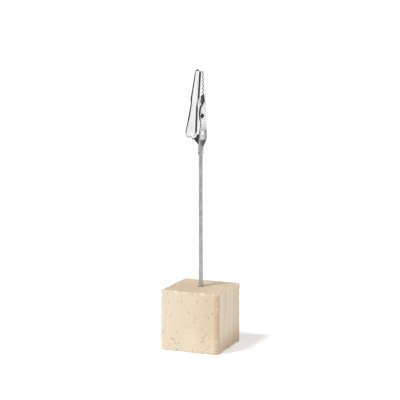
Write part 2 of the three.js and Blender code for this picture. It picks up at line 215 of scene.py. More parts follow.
def place(tree, scale=(1, 1, 1), turn_deg=(0, 0, 0), shift=(0, 0, 0)):
    """Object coordinates in millimetres, turned, shifted and stretched."""
    coordinates = add(tree, "TexCoord").outputs["Object"]
    millimetres = add(tree, "VectorMath", {0: coordinates, "Scale": 1 / MM}, operation="SCALE").outputs[0]
    turn = [math.radians(a) for a in turn_deg]
    mapping = {"Vector": millimetres, "Location": shift, "Rotation": turn, "Scale": scale}
    return add(tree, "Mapping", mapping).outputs["Vector"]


print("patterns are laid out in steps of", MM, "m")

# %% patterns and colours
def noise(tree, where, detail=3.0, roughness=0.5):
    """A noise texture's value, with features about one unit of the place wide."""
    inputs = {"Vector": where, "Scale": 1.0, "Detail": detail, "Roughness": roughness}
    return add(tree, "TexNoise", inputs).outputs[0]


def span(tree, value, low, high, to_low=0.0, to_high=1.0):
    """A value from low to high carried smoothly to the range from to_low to to_high."""
    inputs = {0: value, 1: low, 2: high, 3: to_low, 4: to_high}
    return add(tree, "MapRange", inputs, interpolation_type="SMOOTHSTEP").outputs[0]


def maths(tree, operation, a, b=0.0):
    """One step of arithmetic on two values."""
    return add(tree, "Math", {0: a, 1: b}, operation=operation).outputs[0]


def times(tree, first, *others):
    """The product of several values, taken from the left."""
    for other in others:
        first = maths(tree, "MULTIPLY", first, other)
    return first


def tint(tree, share, first, second):
    """First colour where share is 0, second where it is 1."""
    made = add(tree, "Mix", data_type="RGBA")
    for socket, value in zip((made.inputs[0], made.inputs[6], made.inputs[7]), (share, first, second)):
        if isinstance(value, bpy.types.NodeSocket):
            tree.links.new(value, socket)
        elif isinstance(value, tuple):
            socket.default_value = (*value, 1.0)
        else:
            socket.default_value = value
    return made.outputs[2]


def bump(tree, height, depth_mm, strength=1.0, under=None):
    """A bump normal from a height between 0 and 1, so many millimetres deep."""
    inputs = {"Height": height, "Distance": depth_mm * MM, "Strength": strength}
    if under is not None:
        inputs["Normal"] = under
    return add(tree, "Bump", inputs).outputs[0]


def mark_value(tree, name):
    """A mark that a piece carries on its points."""
    return add(tree, "Attribute", attribute_name=name).outputs["Fac"]


print("a finish is mixed from noise, spans, sums, products, tints and bumps")

# %% [markdown]
# ## The camera
# The photograph looks down a little on the stand, from the right of the cube's front face, through a long
# lens. The camera was fitted to the cube's corners and the rod. It looks square to its own tilt, so its
# turn, rise and distance, and a shift along its own upright and sideways, are all that it needs.

# %% camera
CAMERA_TURN = math.radians(22.4)
CAMERA_RISE = math.radians(8.5)
CAMERA_AWAY = 0.5419
CAMERA_LIFT = 0.0602
CAMERA_ASIDE = -0.00033
LENS_MM, SENSOR_MM = 117.54, 36

camera_back = Vector((
    math.sin(CAMERA_TURN) * math.cos(CAMERA_RISE),
    -math.cos(CAMERA_TURN) * math.cos(CAMERA_RISE),
    math.sin(CAMERA_RISE),
))
camera_right = Vector((math.cos(CAMERA_TURN), math.sin(CAMERA_TURN), 0))
camera_up = camera_back.cross(camera_right)
camera = bpy.data.objects.new("camera", bpy.data.cameras.new("camera"))
camera.data.lens = LENS_MM
camera.data.sensor_width = SENSOR_MM
camera.matrix_world = Matrix((camera_right, camera_up, camera_back)).transposed().to_4x4()
camera.location = camera_back * CAMERA_AWAY + camera_up * CAMERA_LIFT + camera_right * CAMERA_ASIDE
bpy.context.scene.collection.objects.link(camera)
bpy.context.scene.camera = camera
print("camera at", [round(v, 3) for v in camera.location])

# %% [markdown]
# ## The wooden cube
# A cube sawn from a pale square batten, sanded, with its edges eased and a hole drilled in its top for the
# rod. A cube with bevelled edges would do from afar. Here the whole skin is one sheet wound round the
# upright axis: it starts in the middle of the drilled hole's bottom, climbs the hole, runs out over the
# top, round the edge, down the sides and in to the middle of the underside. Each row is a square with
# rounded corners, and in the hole its corners are so round that it is a circle. Small bites along the edges
# show the handling.

# %% cube sizes
block_high = np.array(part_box("wood_block")[1]) / MM
rod_low, rod_high = (np.array(v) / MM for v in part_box("rod"))
ROD_RADIUS = float(rod_high[0])
BLOCK_HALF = float(block_high[0])
BLOCK_TOP = float(block_high[2])
HOLE = ROD_RADIUS + 0.3
HOLE_RIM = 0.12
HOLE_BOTTOM = float(rod_low[2]) - 0.12
print("cube", round(2 * BLOCK_HALF, 2), "mm wide, with a hole of", round(2 * HOLE, 2), "mm")

# %% rows of the cube
EDGE, LEAST_CORNER = 0.38, 0.03
FLAT_COLUMNS, CORNER_COLUMNS = 44, 7
HOLE_ROWS, RIM_ROWS, TOP_ROWS, EDGE_ROWS, SIDE_ROWS, BASE_ROWS = 4, 5, 22, 9, 60, 15
TOP_PULL, SIDE_PULL = (0.93, 1.0), (11.2, 12)
TOP_END_FADE, BASE_END_FADE = (0.5, 1.3), (0.3, 1.1)


def stretch(half, height, corner, pull, end):
    """Some rows of the skin: half a side, height, corner radius, pull of the edge bites, share of end grain.

    A single value counts for all rows of the stretch."""
    return np.stack(np.broadcast_arrays(half, height, corner, pull, end))


flat_half = BLOCK_HALF - EDGE
flat_share = np.linspace(0, flat_half / BLOCK_HALF, FLAT_COLUMNS)
corner_share = np.linspace(np.arctan(flat_share[-1]), math.pi / 4, CORNER_COLUMNS)[1:]
eighth = np.concatenate([np.arctan(flat_share), corner_share])
quarter = np.concatenate([eighth, (math.pi / 2 - eighth[::-1])[1:-1]])
around = np.concatenate([quarter + k * math.pi / 2 for k in range(4)])

rim_turn = np.linspace(0, math.pi / 2, RIM_ROWS)
hole_rim = HOLE + HOLE_RIM * (1 - np.cos(rim_turn))
hole_half = np.concatenate([[0, HOLE * 0.6, HOLE], np.full(HOLE_ROWS, HOLE), hole_rim])
hole_height = np.concatenate([
    np.full(3, HOLE_BOTTOM),
    np.linspace(HOLE_BOTTOM, BLOCK_TOP - HOLE_RIM, HOLE_ROWS + 2)[1:-1],
    BLOCK_TOP - HOLE_RIM + HOLE_RIM * np.sin(rim_turn),
])
face_share = np.linspace(0, 1, TOP_ROWS + 2)[1:-1]
top_half = HOLE + HOLE_RIM + face_share * (flat_half - HOLE - HOLE_RIM)
top_corner = top_half * (1 - face_share) ** 1.5 + LEAST_CORNER
edge_turn = np.linspace(0, math.pi / 2, EDGE_ROWS)
edge_sine, edge_cosine = EDGE * np.sin(edge_turn), EDGE * np.cos(edge_turn)
side_height = np.linspace(BLOCK_TOP - EDGE, EDGE, SIDE_ROWS + 2)[1:-1]
side_pull = ease(np.abs(side_height - BLOCK_TOP / 2), *SIDE_PULL)
base_half = flat_half * (1 - np.linspace(0, 1, BASE_ROWS + 1)[1:])

hole = stretch(hole_half, hole_height, hole_half, 0, 1)
top = stretch(top_half, BLOCK_TOP, top_corner, ease(face_share, *TOP_PULL), 1)
top_end = 1 - ease(edge_turn, *TOP_END_FADE)
corner = edge_sine + LEAST_CORNER
top_edge = stretch(flat_half + edge_sine, BLOCK_TOP - EDGE + edge_cosine, corner, 1, top_end)
sides = stretch(BLOCK_HALF, side_height, EDGE, side_pull, 0)
base_end = ease(edge_turn, *BASE_END_FADE)
base_edge = stretch(flat_half + edge_cosine, EDGE - edge_sine, edge_cosine + LEAST_CORNER, 1, base_end)
base = stretch(base_half, 0, base_half * 0.3, 0, 1)
skin = np.concatenate([hole, top, top_edge, sides, base_edge, base], axis=1)
row_half, row_height, row_corner, edge_pull, end_grain = skin
print("the cube's skin has", len(row_half), "rows of", len(around), "points")

# %% square rows and bitten edges
BITE_WIDTHS, BITE_DEPTH, BITE_PULL = (0.25, 1.1), 0.66, 0.4


def rounded_square(angle, half, corner):
    """Distance from the middle to a square's outline at an angle: half over the cosine on a flat side, and
    on a corner the far crossing of the ray with the corner's circle."""
    folded = np.abs((angle + math.pi / 4) % (math.pi / 2) - math.pi / 4)
    along, beside = np.cos(folded), np.sin(folded)
    middle = half - corner
    towards = middle * (along + beside)
    inside = np.maximum(towards**2 - 2 * middle**2 + corner**2, 0)
    flat = half / along
    return np.where(flat * beside <= middle, flat, towards + np.sqrt(inside))


def edge_bites(position, length, count, rng):
    """Depths of small bites along an edge: each a bell of its own place, width and depth.

    The depths are squares, so most bites are shallow, and the deepest bell counts at each position."""
    places = rng.uniform(0, length, count)
    widths = rng.uniform(*BITE_WIDTHS, count)
    depths = rng.uniform(0.0, BITE_DEPTH, count) ** 2
    apart = np.abs(position[:, None] - places)
    apart = np.minimum(apart, length - apart)
    return (depths * np.exp(-((apart / widths) ** 2))).max(1)


print("bites up to", round(BITE_PULL * BITE_DEPTH**2, 2), "mm deep")

# %% cube
SEED = 11
EDGE_BITES, UPRIGHT_BITES = 74, 40
UPRIGHT_LENGTH = 60.0
CORNER_SPREAD = 0.03
CHIP_DEPTH = 0.3
rng = np.random.default_rng(SEED)
distance = rounded_square(around[None, :], row_half[:, None], np.minimum(row_corner, row_half)[:, None])
girth = 8 * BLOCK_HALF
walk = np.arange(len(around)) / len(around) * girth
top_bites = edge_bites(walk, girth, EDGE_BITES, rng)
base_bites = edge_bites(walk, girth, EDGE_BITES, rng)
upper = (row_height > BLOCK_TOP / 2)[:, None]
bites = np.where(upper, top_bites, base_bites) * edge_pull[:, None]
corner_near = np.exp(-((np.abs(around % (math.pi / 2) - math.pi / 4) / CORNER_SPREAD) ** 2))
upright_bites = [edge_bites(row_height, UPRIGHT_LENGTH, UPRIGHT_BITES, rng) for _ in range(4)]
which = (around // (math.pi / 2)).astype(int)
on_side = ((row_height > EDGE) & (row_height < BLOCK_TOP - EDGE) & (row_half == BLOCK_HALF))[:, None]
bites = bites + np.stack(upright_bites, axis=1)[:, which] * corner_near * on_side
distance = distance - bites * BITE_PULL
inwards = np.where(upper, -1, 1) * (edge_pull > 0.99)[:, None]
height = row_height[:, None] + bites * BITE_PULL * inwards
block_points = np.stack([distance * np.cos(around), distance * np.sin(around), height], axis=-1)
block_rows, block_columns = block_points.shape[:2]

block = make_piece(
    "cube_of_wood",
    block_points.reshape(-1, 3) * MM,
    grid_faces(block_rows, block_columns, close_columns=True),
    {"end_grain": np.repeat(end_grain, block_columns), "chip": np.minimum(bites / CHIP_DEPTH, 1).ravel()},
)
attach(block, "stand")
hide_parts("wood_block")

# %% [markdown]
# ## Pale sawn wood
# The cube's front was cut along the year rings, so it is an even cream with short dark dashes, the wood's
# open pores cut lengthwise. Its right side crosses the rings, which stand there as upright streaks, and its
# top is darker end grain. One solid pattern gives all three, because it is cut from the same log: distance
# from a distant pith makes the rings, noise stretched along the grain makes the fibres, and sparse cells
# stretched the same way make the pores. Use and the workshop left a honey-coloured band up the front's right
# side, a smoky streak on the right face, and lighter, fresh wood where the edges are chipped. Painted shade
# lies on the rounded edge up the front's right side, low down at the back, along the foot of the right face
# and round the rod's foot in the drilled hole. Each is a tone laid over the others by its share at a
# point.

# %% wood colours
wood, tree, shader = new_finish("pale_wood")
CREAM = (0.86, 0.74, 0.56)
BLUSH = (0.87, 0.755, 0.60)
STREAK = (0.72, 0.57, 0.39)
HONEY = (0.80, 0.65, 0.43)
TAN = (0.56, 0.40, 0.25)
SMOKE = (0.54, 0.44, 0.34)
CHIP = (0.93, 0.84, 0.70)
PORE = (0.32, 0.20, 0.10)
END_TONE = (0.555, 0.45, 0.32)
PITH = (14, 130, 0)
RINGS_PER_MM, RING_WANDER = 0.17, 1.1
HONEY_LINE = (9.0, -14.0, 0)
# Painted shade runs up this line, the rounded edge between the front and the right face.
EDGE_SHADE_LINE = (12.5, -12.1, 0)
SMOKE_LINE = (12.5, -4.0, 0)
# Round the rod's axis a ring of painted shade darkens the end grain.
ROD_LINE = (0, 0, 0)
here = add(tree, "SeparateXYZ", {0: place(tree)}).outputs


def away_from(line):
    """Distance in millimetres from an upright line."""
    flat = place(tree, (1, 1, 0))
    return add(tree, "VectorMath", {0: flat, 1: line}, operation="DISTANCE").outputs["Value"]


def between(axis, low, high, to_low=0.0, to_high=1.0):
    """A place between low and high on an axis, in millimetres, carried smoothly to another range."""
    return span(tree, here[axis], low, high, to_low, to_high)


print("rings", round(1 / RINGS_PER_MM, 1), "mm apart")

# %% wood grain
patch = noise(tree, place(tree, (0.07, 0.07, 0.03)), detail=2)
fibre = noise(tree, place(tree, (2.4, 2.4, 0.05)), detail=4, roughness=0.6)
mottle = noise(tree, place(tree, (1.3, 1.3, 0.8)), detail=3, roughness=0.6)
wander = noise(tree, place(tree, (0.16, 0.16, 0.02)), detail=2)
end_lines = noise(tree, place(tree, (2.6, 0.16, 1), turn_deg=(0, 0, 8)), detail=3)
ring_count = times(tree, away_from(PITH), RINGS_PER_MM)
ring_phase = maths(tree, "FRACT", maths(tree, "ADD", ring_count, times(tree, wander, RING_WANDER)))
ring = times(tree, span(tree, ring_phase, 0.2, 0.7), span(tree, ring_phase, 1.0, 0.75))
end = mark_value(tree, "end_grain")
print("grain from", len(tree.nodes), "nodes")

# %% wood tones
near_honey = span(tree, away_from(HONEY_LINE), 8.0, 2.0, 0.0, 0.7)
on_front = between("Y", -11.0, -12.2)
tones = [
    # Fibres, flecks and year rings, which are faint on the front and clear on the sides.
    (span(tree, fibre, 0.45, 0.8, 0.0, 0.16), STREAK),
    (span(tree, mottle, 0.45, 0.75, 0.0, 0.3), STREAK),
    (times(tree, ring, between("Y", -12.0, -9.0, 0.05, 0.24)), STREAK),
    # The honey band up the front's right, and a warmer upper half of the front.
    (times(tree, near_honey, between("Z", 1.0, 8.0, 0.45, 1.0)), HONEY),
    (times(tree, between("X", -9.0, 5.0, 0.0, 0.12), between("Z", 5.0, 13.0), on_front), TAN),
    # Darker towards the back, and painted shade low down at the back and along the foot of the right face.
    (between("Y", 2.0, 12.0, 0.0, 0.45), STREAK),
    (times(tree, between("Y", 0.0, 8.0), between("Z", 10.0, 2.0), 0.18), TAN),
    (times(tree, between("Z", 9.0, 0.0, 0.0, 0.6), between("X", 8.0, 12.0), between("Y", -11.8, -10.0)), TAN),
    # The smoky streak up the right face, broken up by the fibres.
    (times(tree, span(tree, away_from(SMOKE_LINE), 1.3, 0.5), between("Z", 4.0, 17.0),
           span(tree, fibre, 0.35, 0.6, 0.1, 0.38)), SMOKE),
    # Painted shade on the rounded edge between the front and the right face.
    (times(tree, span(tree, away_from(EDGE_SHADE_LINE), 2.1, 0.6), span(tree, mottle, 0.3, 0.6, 0.35, 0.75)), TAN),
    # End grain with its own lines, lighter on the right and at the back, and painted shade round the rod's
    # foot.
    (times(tree, end, 0.85), END_TONE),
    (times(tree, end, span(tree, end_lines, 0.42, 0.75, 0.0, 0.55)), TAN),
    (times(tree, end, between("X", 0.0, 9.0, 0.0, 0.2)), CREAM),
    (times(tree, end, between("Y", 0.0, 11.0, 0.0, 0.2), between("X", 3.0, 0.0)), CREAM),
    (times(tree, end, span(tree, away_from(ROD_LINE), HOLE + 0.6, HOLE + 0.1, 0.0, 0.6)), PORE),
    # Fresh wood in the chipped edges.
    (times(tree, mark_value(tree, "chip"), span(tree, mottle, 0.3, 0.6, 0.15, 0.7)), CHIP),
]
colour = tint(tree, span(tree, patch, 0.35, 0.65), CREAM, BLUSH)
for share, tone in tones:
    colour = tint(tree, share, colour, tone)
print(len(tones), "tones over the ground colour")

# %% wood pores
PORE_LEAN = -16
PORE_CELL = (1.7, 1.7, 0.42)
GROVE_LUCK = 0.4
PORE_STRENGTH = 0.85
leaning = place(tree, turn_deg=(0, PORE_LEAN, 0))
pore_place = add(tree, "VectorMath", {0: leaning, 1: PORE_CELL}, operation="MULTIPLY").outputs[0]
cells = add(tree, "TexVoronoi", {"Vector": pore_place, "Scale": 1.0, "Randomness": 1.0})
some, depth = add(tree, "SeparateColor", {0: cells.outputs["Color"]}).outputs[:2]
thickets = noise(tree, place(tree, (0.13, 0.13, 0.11), shift=(3, 0, 1)), detail=1)
groves = span(tree, thickets, 0.45, 0.6, 0.0, 0.4)
top_rim, base_rim = between("Z", 21.5, 23.5), between("Z", 2.6, 1.2)
low_left = times(tree, between("X", -2.0, -5.0), between("Z", 11.0, 8.0))
right_third = times(tree, between("X", 1.5, 4.5), between("X", 11.5, 10.0))
for place_of_pores in (top_rim, base_rim, low_left, right_third):
    groves = maths(tree, "MAXIMUM", groves, place_of_pores)
luck = maths(tree, "ADD", some, times(tree, groves, GROVE_LUCK))
pore = times(
    tree,
    span(tree, cells.outputs["Distance"], 0.33, 0.13),
    span(tree, luck, 0.9, 1.0),
    span(tree, depth, 0.1, 0.9, 0.4, 1.0),
    between("Y", -12.2, -11.2, 1.0, 0.25),
)
colour = tint(tree, times(tree, pore, PORE_STRENGTH), colour, PORE)
tree.links.new(colour, shader.inputs["Base Color"])
tree.links.new(span(tree, fibre, 0.3, 0.8, 0.58, 0.74), shader.inputs["Roughness"])
shader.inputs["Specular IOR Level"].default_value = 0.3
fibre_normal = bump(tree, fibre, 0.05, 0.6)
hollow = maths(tree, "SUBTRACT", 1.0, pore)
tree.links.new(bump(tree, hollow, 0.12, 0.7, fibre_normal), shader.inputs["Normal"])
block.data.materials.append(wood)
print("wood finish with", len(tree.nodes), "nodes")

# %% [markdown]
# ## The rod
# Drawn steel wire, cut off and pressed into the cube. It is a profile turned about the upright axis: foot,
# eased edges, a long straight side and the top inside the clip. A cylinder primitive would look the same
# from afar, but the rows along it are wanted for its even shading.

# %% rod
ROD_EASE = 0.2
ROD_SIDES, ROD_STEPS = 72, 40
round_turn = np.linspace(0, math.pi / 2, 5)
rod_radius = np.concatenate([
    [0], ROD_RADIUS - ROD_EASE + ROD_EASE * np.sin(round_turn), np.full(ROD_STEPS, ROD_RADIUS),
    ROD_RADIUS - ROD_EASE + ROD_EASE * np.cos(round_turn), [0],
])
rod_height = np.concatenate([
    [rod_low[2]], rod_low[2] + ROD_EASE - ROD_EASE * np.cos(round_turn),
    np.linspace(rod_low[2] + ROD_EASE, rod_high[2] - ROD_EASE, ROD_STEPS + 2)[1:-1],
    rod_high[2] - ROD_EASE + ROD_EASE * np.sin(round_turn), [rod_high[2]],
])


def turned(radius, height, sides):
    """A profile turned about the upright axis: (radius cos a, radius sin a, height) for each angle a."""
    angle = np.arange(sides) * (2 * math.pi / sides)
    flat = radius[:, None] * np.stack([np.cos(angle), np.sin(angle)])[:, None, :]
    return np.stack([*flat, np.broadcast_to(height[:, None], flat[0].shape)], axis=-1)


rod = make_piece(
    "drawn_rod",
    turned(rod_radius, rod_height, ROD_SIDES).reshape(-1, 3) * MM,
    grid_faces(len(rod_radius), ROD_SIDES, close_columns=True),
)
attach(rod, "stand")
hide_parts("rod")

# %% [markdown]
# ## Drawn steel
# Wire pulled through a die is satin, with faint lines along it and a slightly uneven grey from its oil and
# handling. A metal shader takes its grey from the base colour, noise stretched along the rod draws the
# lines, and a broader noise makes the uneven patches in colour and roughness.

# %% rod finish
steel, tree, shader = new_finish("drawn_steel")
DULL_STEEL, CLEAN_STEEL, LINE_STEEL = (0.50, 0.50, 0.52), (0.66, 0.66, 0.67), (0.45, 0.45, 0.47)
draw_lines = noise(tree, place(tree, (5, 5, 0.05)), detail=3)
blotch = noise(tree, place(tree, (0.9, 0.9, 0.55)), detail=4, roughness=0.65)
grain = noise(tree, place(tree, (4, 4, 3)), detail=2)
grey = tint(tree, span(tree, blotch, 0.32, 0.7), DULL_STEEL, CLEAN_STEEL)
grey = tint(tree, span(tree, draw_lines, 0.5, 0.8, 0.0, 0.3), grey, LINE_STEEL)
tree.links.new(grey, shader.inputs["Base Color"])
shader.inputs["Metallic"].default_value = 1.0
tree.links.new(span(tree, blotch, 0.3, 0.7, 0.28, 0.4), shader.inputs["Roughness"])
line_normal = bump(tree, draw_lines, 0.02, 0.5)
tree.links.new(bump(tree, grain, 0.02, 0.5, line_normal), shader.inputs["Normal"])
rod.data.materials.append(steel)
print("steel finish with", len(tree.nodes), "nodes")

# %% [markdown]
# ## Folded sheet metal
# Both jaws are stamped from thin sheet and folded to a tray: a plate, a rounded fold, and walls whose free
# edges carry the teeth. One function makes both. It walks along the tray's outline, and at each step lays a
# section: from the plate's middle line out to the fold, a quarter turn, then along the wall to its free
# edge, round the cut edge, and back on the inner face. The inner face is the same section set in by the
# sheet. The turn may be wider than it is deep, as on a part that was pressed and not sharply folded. Marks
# on the points say which are on a cut edge and which are inside.

# %% folded sheet
SHEET = 0.35
FOLD = 0.7
CUT_ROUND = 0.06
LEAST_RADIUS = 0.5
PLATE_ROWS, FOLD_ROWS, WALL_ROWS, CUT_ROWS = 7, 9, 7, 4


def folded_sheet(side, inward, spine_up, plate_out, free_edge, fold, bend, towards, wrap):
    """Rows of (across, out, up) points from the plate's outer middle line, over the free edge, to its inner
    middle line.

    side is the outline (across, up), inward its unit normal, spine_up the height of the middle line's point.
    The fold is a quarter of an ellipse: at angle a, on a face that lies depth inside the sheet, a point is
    (fold - depth) sin a beyond the fold's start and bend - (bend - depth) cos a under the plate. The wall
    then runs straight to free_edge or, where wrap is over 0, goes on round the rod's axis by that angle."""
    inset = side + inward * fold[:, None]
    spine = np.stack([np.zeros(len(side)), spine_up], axis=1)
    base = plate_out(inset)
    radius = np.abs(side[:, 0])
    sign = np.sign(side[:, 0])

    def stacked(plan, out):
        """Points (across, out, up) from (across, up) in the plan and a distance out."""
        return np.stack([plan[..., 0], np.broadcast_to(out, plan.shape[:-1]), plan[..., 1]], axis=-1)

    def plate_and_fold(depth):
        """Even steps from the middle line to the fold's start, then the fold's quarter ellipse."""
        share = np.linspace(0, 1, PLATE_ROWS)[:, None, None]
        plan = spine + share * (inset - spine)
        plate = stacked(plan, plate_out(plan) + towards * depth)
        turn = np.linspace(0, math.pi / 2, FOLD_ROWS)[1:, None]
        reach = (fold - depth) * np.sin(turn)
        under = bend - (bend - depth) * np.cos(turn)
        return np.concatenate([plate, stacked(inset - inward * reach[..., None], base + towards * under)])

    def wall(share, depth, short):
        """Rows at shares of the way from the fold to a place just short of the free edge.

        Round the rod they are (radius sin a, -radius cos a), from a quarter turn on."""
        plan = np.broadcast_to(side + inward * depth, (*np.shape(share)[:1], *side.shape)).copy()
        start = base + towards * bend
        out = start + share * (free_edge - towards * short - start)
        angle = math.pi / 2 + share * (wrap - short / np.maximum(radius, LEAST_RADIUS))
        wound = wrap > 0
        plan[..., 0] = np.where(wound, sign * (radius - depth) * np.sin(angle), plan[..., 0])
        return stacked(plan, np.where(wound, -(radius - depth) * np.cos(angle), out))

    shares = np.linspace(0, 1, WALL_ROWS)[1:, None]
    turn = np.linspace(0, math.pi / 2, CUT_ROWS)[1:]
    one = np.ones((1, 1))
    outer = np.concatenate([plate_and_fold(0), wall(shares, 0, CUT_ROUND)])
    inner = np.concatenate([plate_and_fold(SHEET), wall(shares, SHEET, CUT_ROUND)])
    depths = CUT_ROUND * (1 - np.cos(turn))
    shorts = CUT_ROUND * (1 - np.sin(turn))
    first = [wall(one, d, s) for d, s in zip(depths, shorts)]
    second = [wall(one, SHEET - d, s) for d, s in zip(depths[::-1], shorts[::-1])]
    rows = np.concatenate([outer, *first, *second, inner[::-1]])
    cut = np.zeros(len(rows))
    cut[len(outer):len(outer) + 2 * len(first)] = 1
    inside = np.zeros(len(rows))
    inside[-len(inner):] = 1
    return rows, cut, inside


print("a section has", 2 * (PLATE_ROWS + FOLD_ROWS + WALL_ROWS - 2) + 2 * (CUT_ROWS - 1), "points")

# %% outlines
SOFT_SAMPLES = 9
STEP, LEAST_STEP = 0.14, 0.3


def inward_normal(side, closed):
    """The unit normal on the left of the way along an outline that runs anticlockwise."""
    if closed:
        step = np.roll(side, -1, axis=0) - np.roll(side, 1, axis=0)
    else:
        step = np.gradient(side, axis=0)
    normal = np.stack([-step[:, 1], step[:, 0]], axis=1)
    return normal / np.linalg.norm(normal, axis=1)[:, None]


def softened(x, y, at, width):
    """A line through points, with its corners eased by averaging it over a width."""
    spread = np.linspace(-width / 2, width / 2, SOFT_SAMPLES)
    return np.interp(at[:, None] + spread, x, y).mean(1)


def spaced(low, high, corners):
    """Even steps from low to high, with the corners of a profile in place of the steps that are too close."""
    even = np.linspace(low, high, int(math.ceil((high - low) / STEP)) + 1)
    corners = corners[(corners > low) & (corners < high)]
    far = np.abs(even[:, None] - corners).min(1) > LEAST_STEP * STEP
    far[[0, -1]] = True
    return np.sort(np.concatenate([even[far], corners]))


print("outlines in steps of", STEP, "mm")

# %% [markdown]
# ## Teeth and free edges
# Seen from the side, the two jaws meet in a zigzag. Below it is an open throat, then the ears that the
# pivot goes through, and on the fixed jaw the lobes of the tail. Each free edge is a list of corners, how
# far out against how far up, with the round stretches sampled from their ellipses.

# %% places on the jaws
BITE_OUT, BITE_GAP, BITE_LEAN = 0.35, 0.36, math.tan(math.radians(3.5))
TOOTH_COUNT, TOOTH_PITCH, TOOTH_DEPTH = 6, 1.5, 0.5
NOSE_LAND = 1.1
EAR_HALF_LENGTH = 4.2
EAR_TOP = PIVOT_OUT + 0.72
EAR_ROOM, EAR_VIEW = 0.36, 0.68
WIDEST_SHARE = 0.45
lever_top = float(lever_high[2])
lever_end = float(lever_low[2])
fixed_top = float(fixed_high[2])
fixed_end = float(fixed_low[2])
lobe_out = float(fixed_high[1])
teeth_top = lever_top - NOSE_LAND
teeth_foot = teeth_top - TOOTH_COUNT * TOOTH_PITCH
throat = teeth_foot - EAR_HALF_LENGTH
widest = EAR_HALF_LENGTH + WIDEST_SHARE * throat
print("teeth from", round(teeth_top, 2), "down to", round(teeth_foot, 2), "mm over the pivot")

# %% lines of the jaws
LEVER_TIP_OUT = 1.75
ARC_STEPS, SQUARE_POWER = 24, 0.35
lever_slope = (float(lever_high[1]) - LEVER_TIP_OUT) / (lever_top - lever_end)


def lever_out(up):
    """The lever plate's outer face leans out evenly from its tip to its end."""
    return LEVER_TIP_OUT + lever_slope * (lever_top - up)


def fixed_bite(up):
    """The fixed jaw's bite line leans out evenly, down from the tip."""
    return BITE_OUT + BITE_LEAN * (lever_top - up) - BITE_GAP / 2


def lever_bite(up):
    """The lever's bite line runs beside the fixed jaw's."""
    return fixed_bite(up) + BITE_GAP


def tooth_line(bite):
    """Tips and roots of the teeth, from the lowest one up."""
    step = np.arange(2 * TOOTH_COUNT, -1, -1)
    up = teeth_top - step * TOOTH_PITCH / 2
    return np.stack([bite(up) + np.where(step % 2, 0.5, -0.5) * TOOTH_DEPTH, up], axis=1)


def arc(out, up, reach_out, reach_up, low_deg, high_deg):
    """Points of an ellipse, at angles measured from straight out."""
    angle = np.radians(np.linspace(low_deg, high_deg, ARC_STEPS))
    return np.stack([out + reach_out * np.cos(angle), up + reach_up * np.sin(angle)], axis=1)


def square_arc(out, up, reach_out, reach_up):
    """The lower quarter of a rounded square: an ellipse with its cosine and sine raised to a small power."""
    angle = np.radians(np.linspace(-90, 0, ARC_STEPS))[:-1]
    outwards, downwards = np.cos(angle) ** SQUARE_POWER, (-np.sin(angle)) ** SQUARE_POWER
    return np.stack([out + reach_out * outwards, up - reach_up * downwards], axis=1)


print("the lever's plate leans out by", round(math.degrees(math.atan(lever_slope)), 1), "degrees")

# %% free edge of the lever
THROAT_LEVER_SIDE, THROAT_SHARES = 1.05, np.array([0.3, 0.8])
THUMB_CORNER = 2.2
FLANGE_UP = np.array([lever_end, lever_end + THUMB_CORNER, -2.7])
FLANGE_DEPTH = np.array([0.45, 1.7, 2.3])
throat_up = EAR_HALF_LENGTH + THROAT_SHARES * throat
ear_root = lever_bite(EAR_HALF_LENGTH)
lever_edge = np.concatenate([
    np.stack([lever_out(FLANGE_UP) - FLANGE_DEPTH, FLANGE_UP], axis=1),
    arc(ear_root, 0, EAR_TOP + EAR_ROOM + EAR_VIEW - ear_root, EAR_HALF_LENGTH + EAR_ROOM, -20, 90),
    np.stack([lever_bite(throat_up) + THROAT_LEVER_SIDE, throat_up], axis=1),
    tooth_line(lever_bite),
    [[lever_bite(lever_top) - TOOTH_DEPTH / 2, lever_top]],
])
print("the lever's edge has", len(lever_edge), "corners")

# %% free edge of the fixed jaw
THROAT_FIXED_SIDE, THROAT_CORNER = 0.8, 0.35
ROD_RIVET_UP = -6.9
LOBE_RISE, LOBE_HALF_LENGTH = 1.1, 3.0
CRIMP_LENGTH, TAPER_LENGTH = 3.4, 2.9
rod_rivet_out = lobe_out - LOBE_RISE
crimp_top = fixed_end + CRIMP_LENGTH
taper_top = crimp_top + TAPER_LENGTH
corner_up = EAR_HALF_LENGTH + THROAT_CORNER * throat
ear_root = fixed_bite(EAR_HALF_LENGTH)
fixed_edge = np.concatenate([
    [[0, fixed_end], [0, crimp_top]],
    square_arc(rod_rivet_out, ROD_RIVET_UP, LOBE_RISE, LOBE_HALF_LENGTH),
    arc(rod_rivet_out, ROD_RIVET_UP, LOBE_RISE, LOBE_HALF_LENGTH, 0, 62),
    arc(ear_root, 0, EAR_TOP - ear_root, EAR_HALF_LENGTH, -45, 90),
    [[fixed_bite(corner_up) - THROAT_FIXED_SIDE, corner_up]],
    tooth_line(fixed_bite),
    [[fixed_bite(fixed_top) - TOOTH_DEPTH / 2, fixed_top]],
])
print("the fixed jaw's edge has", len(fixed_edge), "corners")

# %% [markdown]
# ## The lever jaw
# From outside, the lever is a long plate: a narrow snout, a waist at the pivot and a thumb end that flares
# and rounds off. Its outline is walked once round, the right side up and the left side down, so the section
# closes on itself. The plate bulges by a few hundredths of a millimetre, as pressed sheet does, which keeps
# its reflections from looking like a mirror's.

# %% lever outline
THUMB_HALF = float(lever_high[0])
TIP_HALF, JAW_HALF, WAIST_HALF, NECK_HALF = 1.75, 2.8, 2.3, 2.0
WAIST_UP, WAIST_EASE = EAR_HALF_LENGTH + 0.15, 1.6
NOSE_ROUND, NOSE_SHORT = 0.95, 0.25
NOSE_STEPS, END_STEPS, THUMB_STEPS = 8, 7, 18
CROWN = 0.07


def lever_half_width(up):
    """Half the lever's width: the thumb end, the waist, the widest place of the jaw and the tip."""
    places = [lever_end + THUMB_CORNER, WAIST_UP, widest, lever_top]
    return softened(places, [THUMB_HALF, WAIST_HALF, JAW_HALF, TIP_HALF], up, WAIST_EASE)


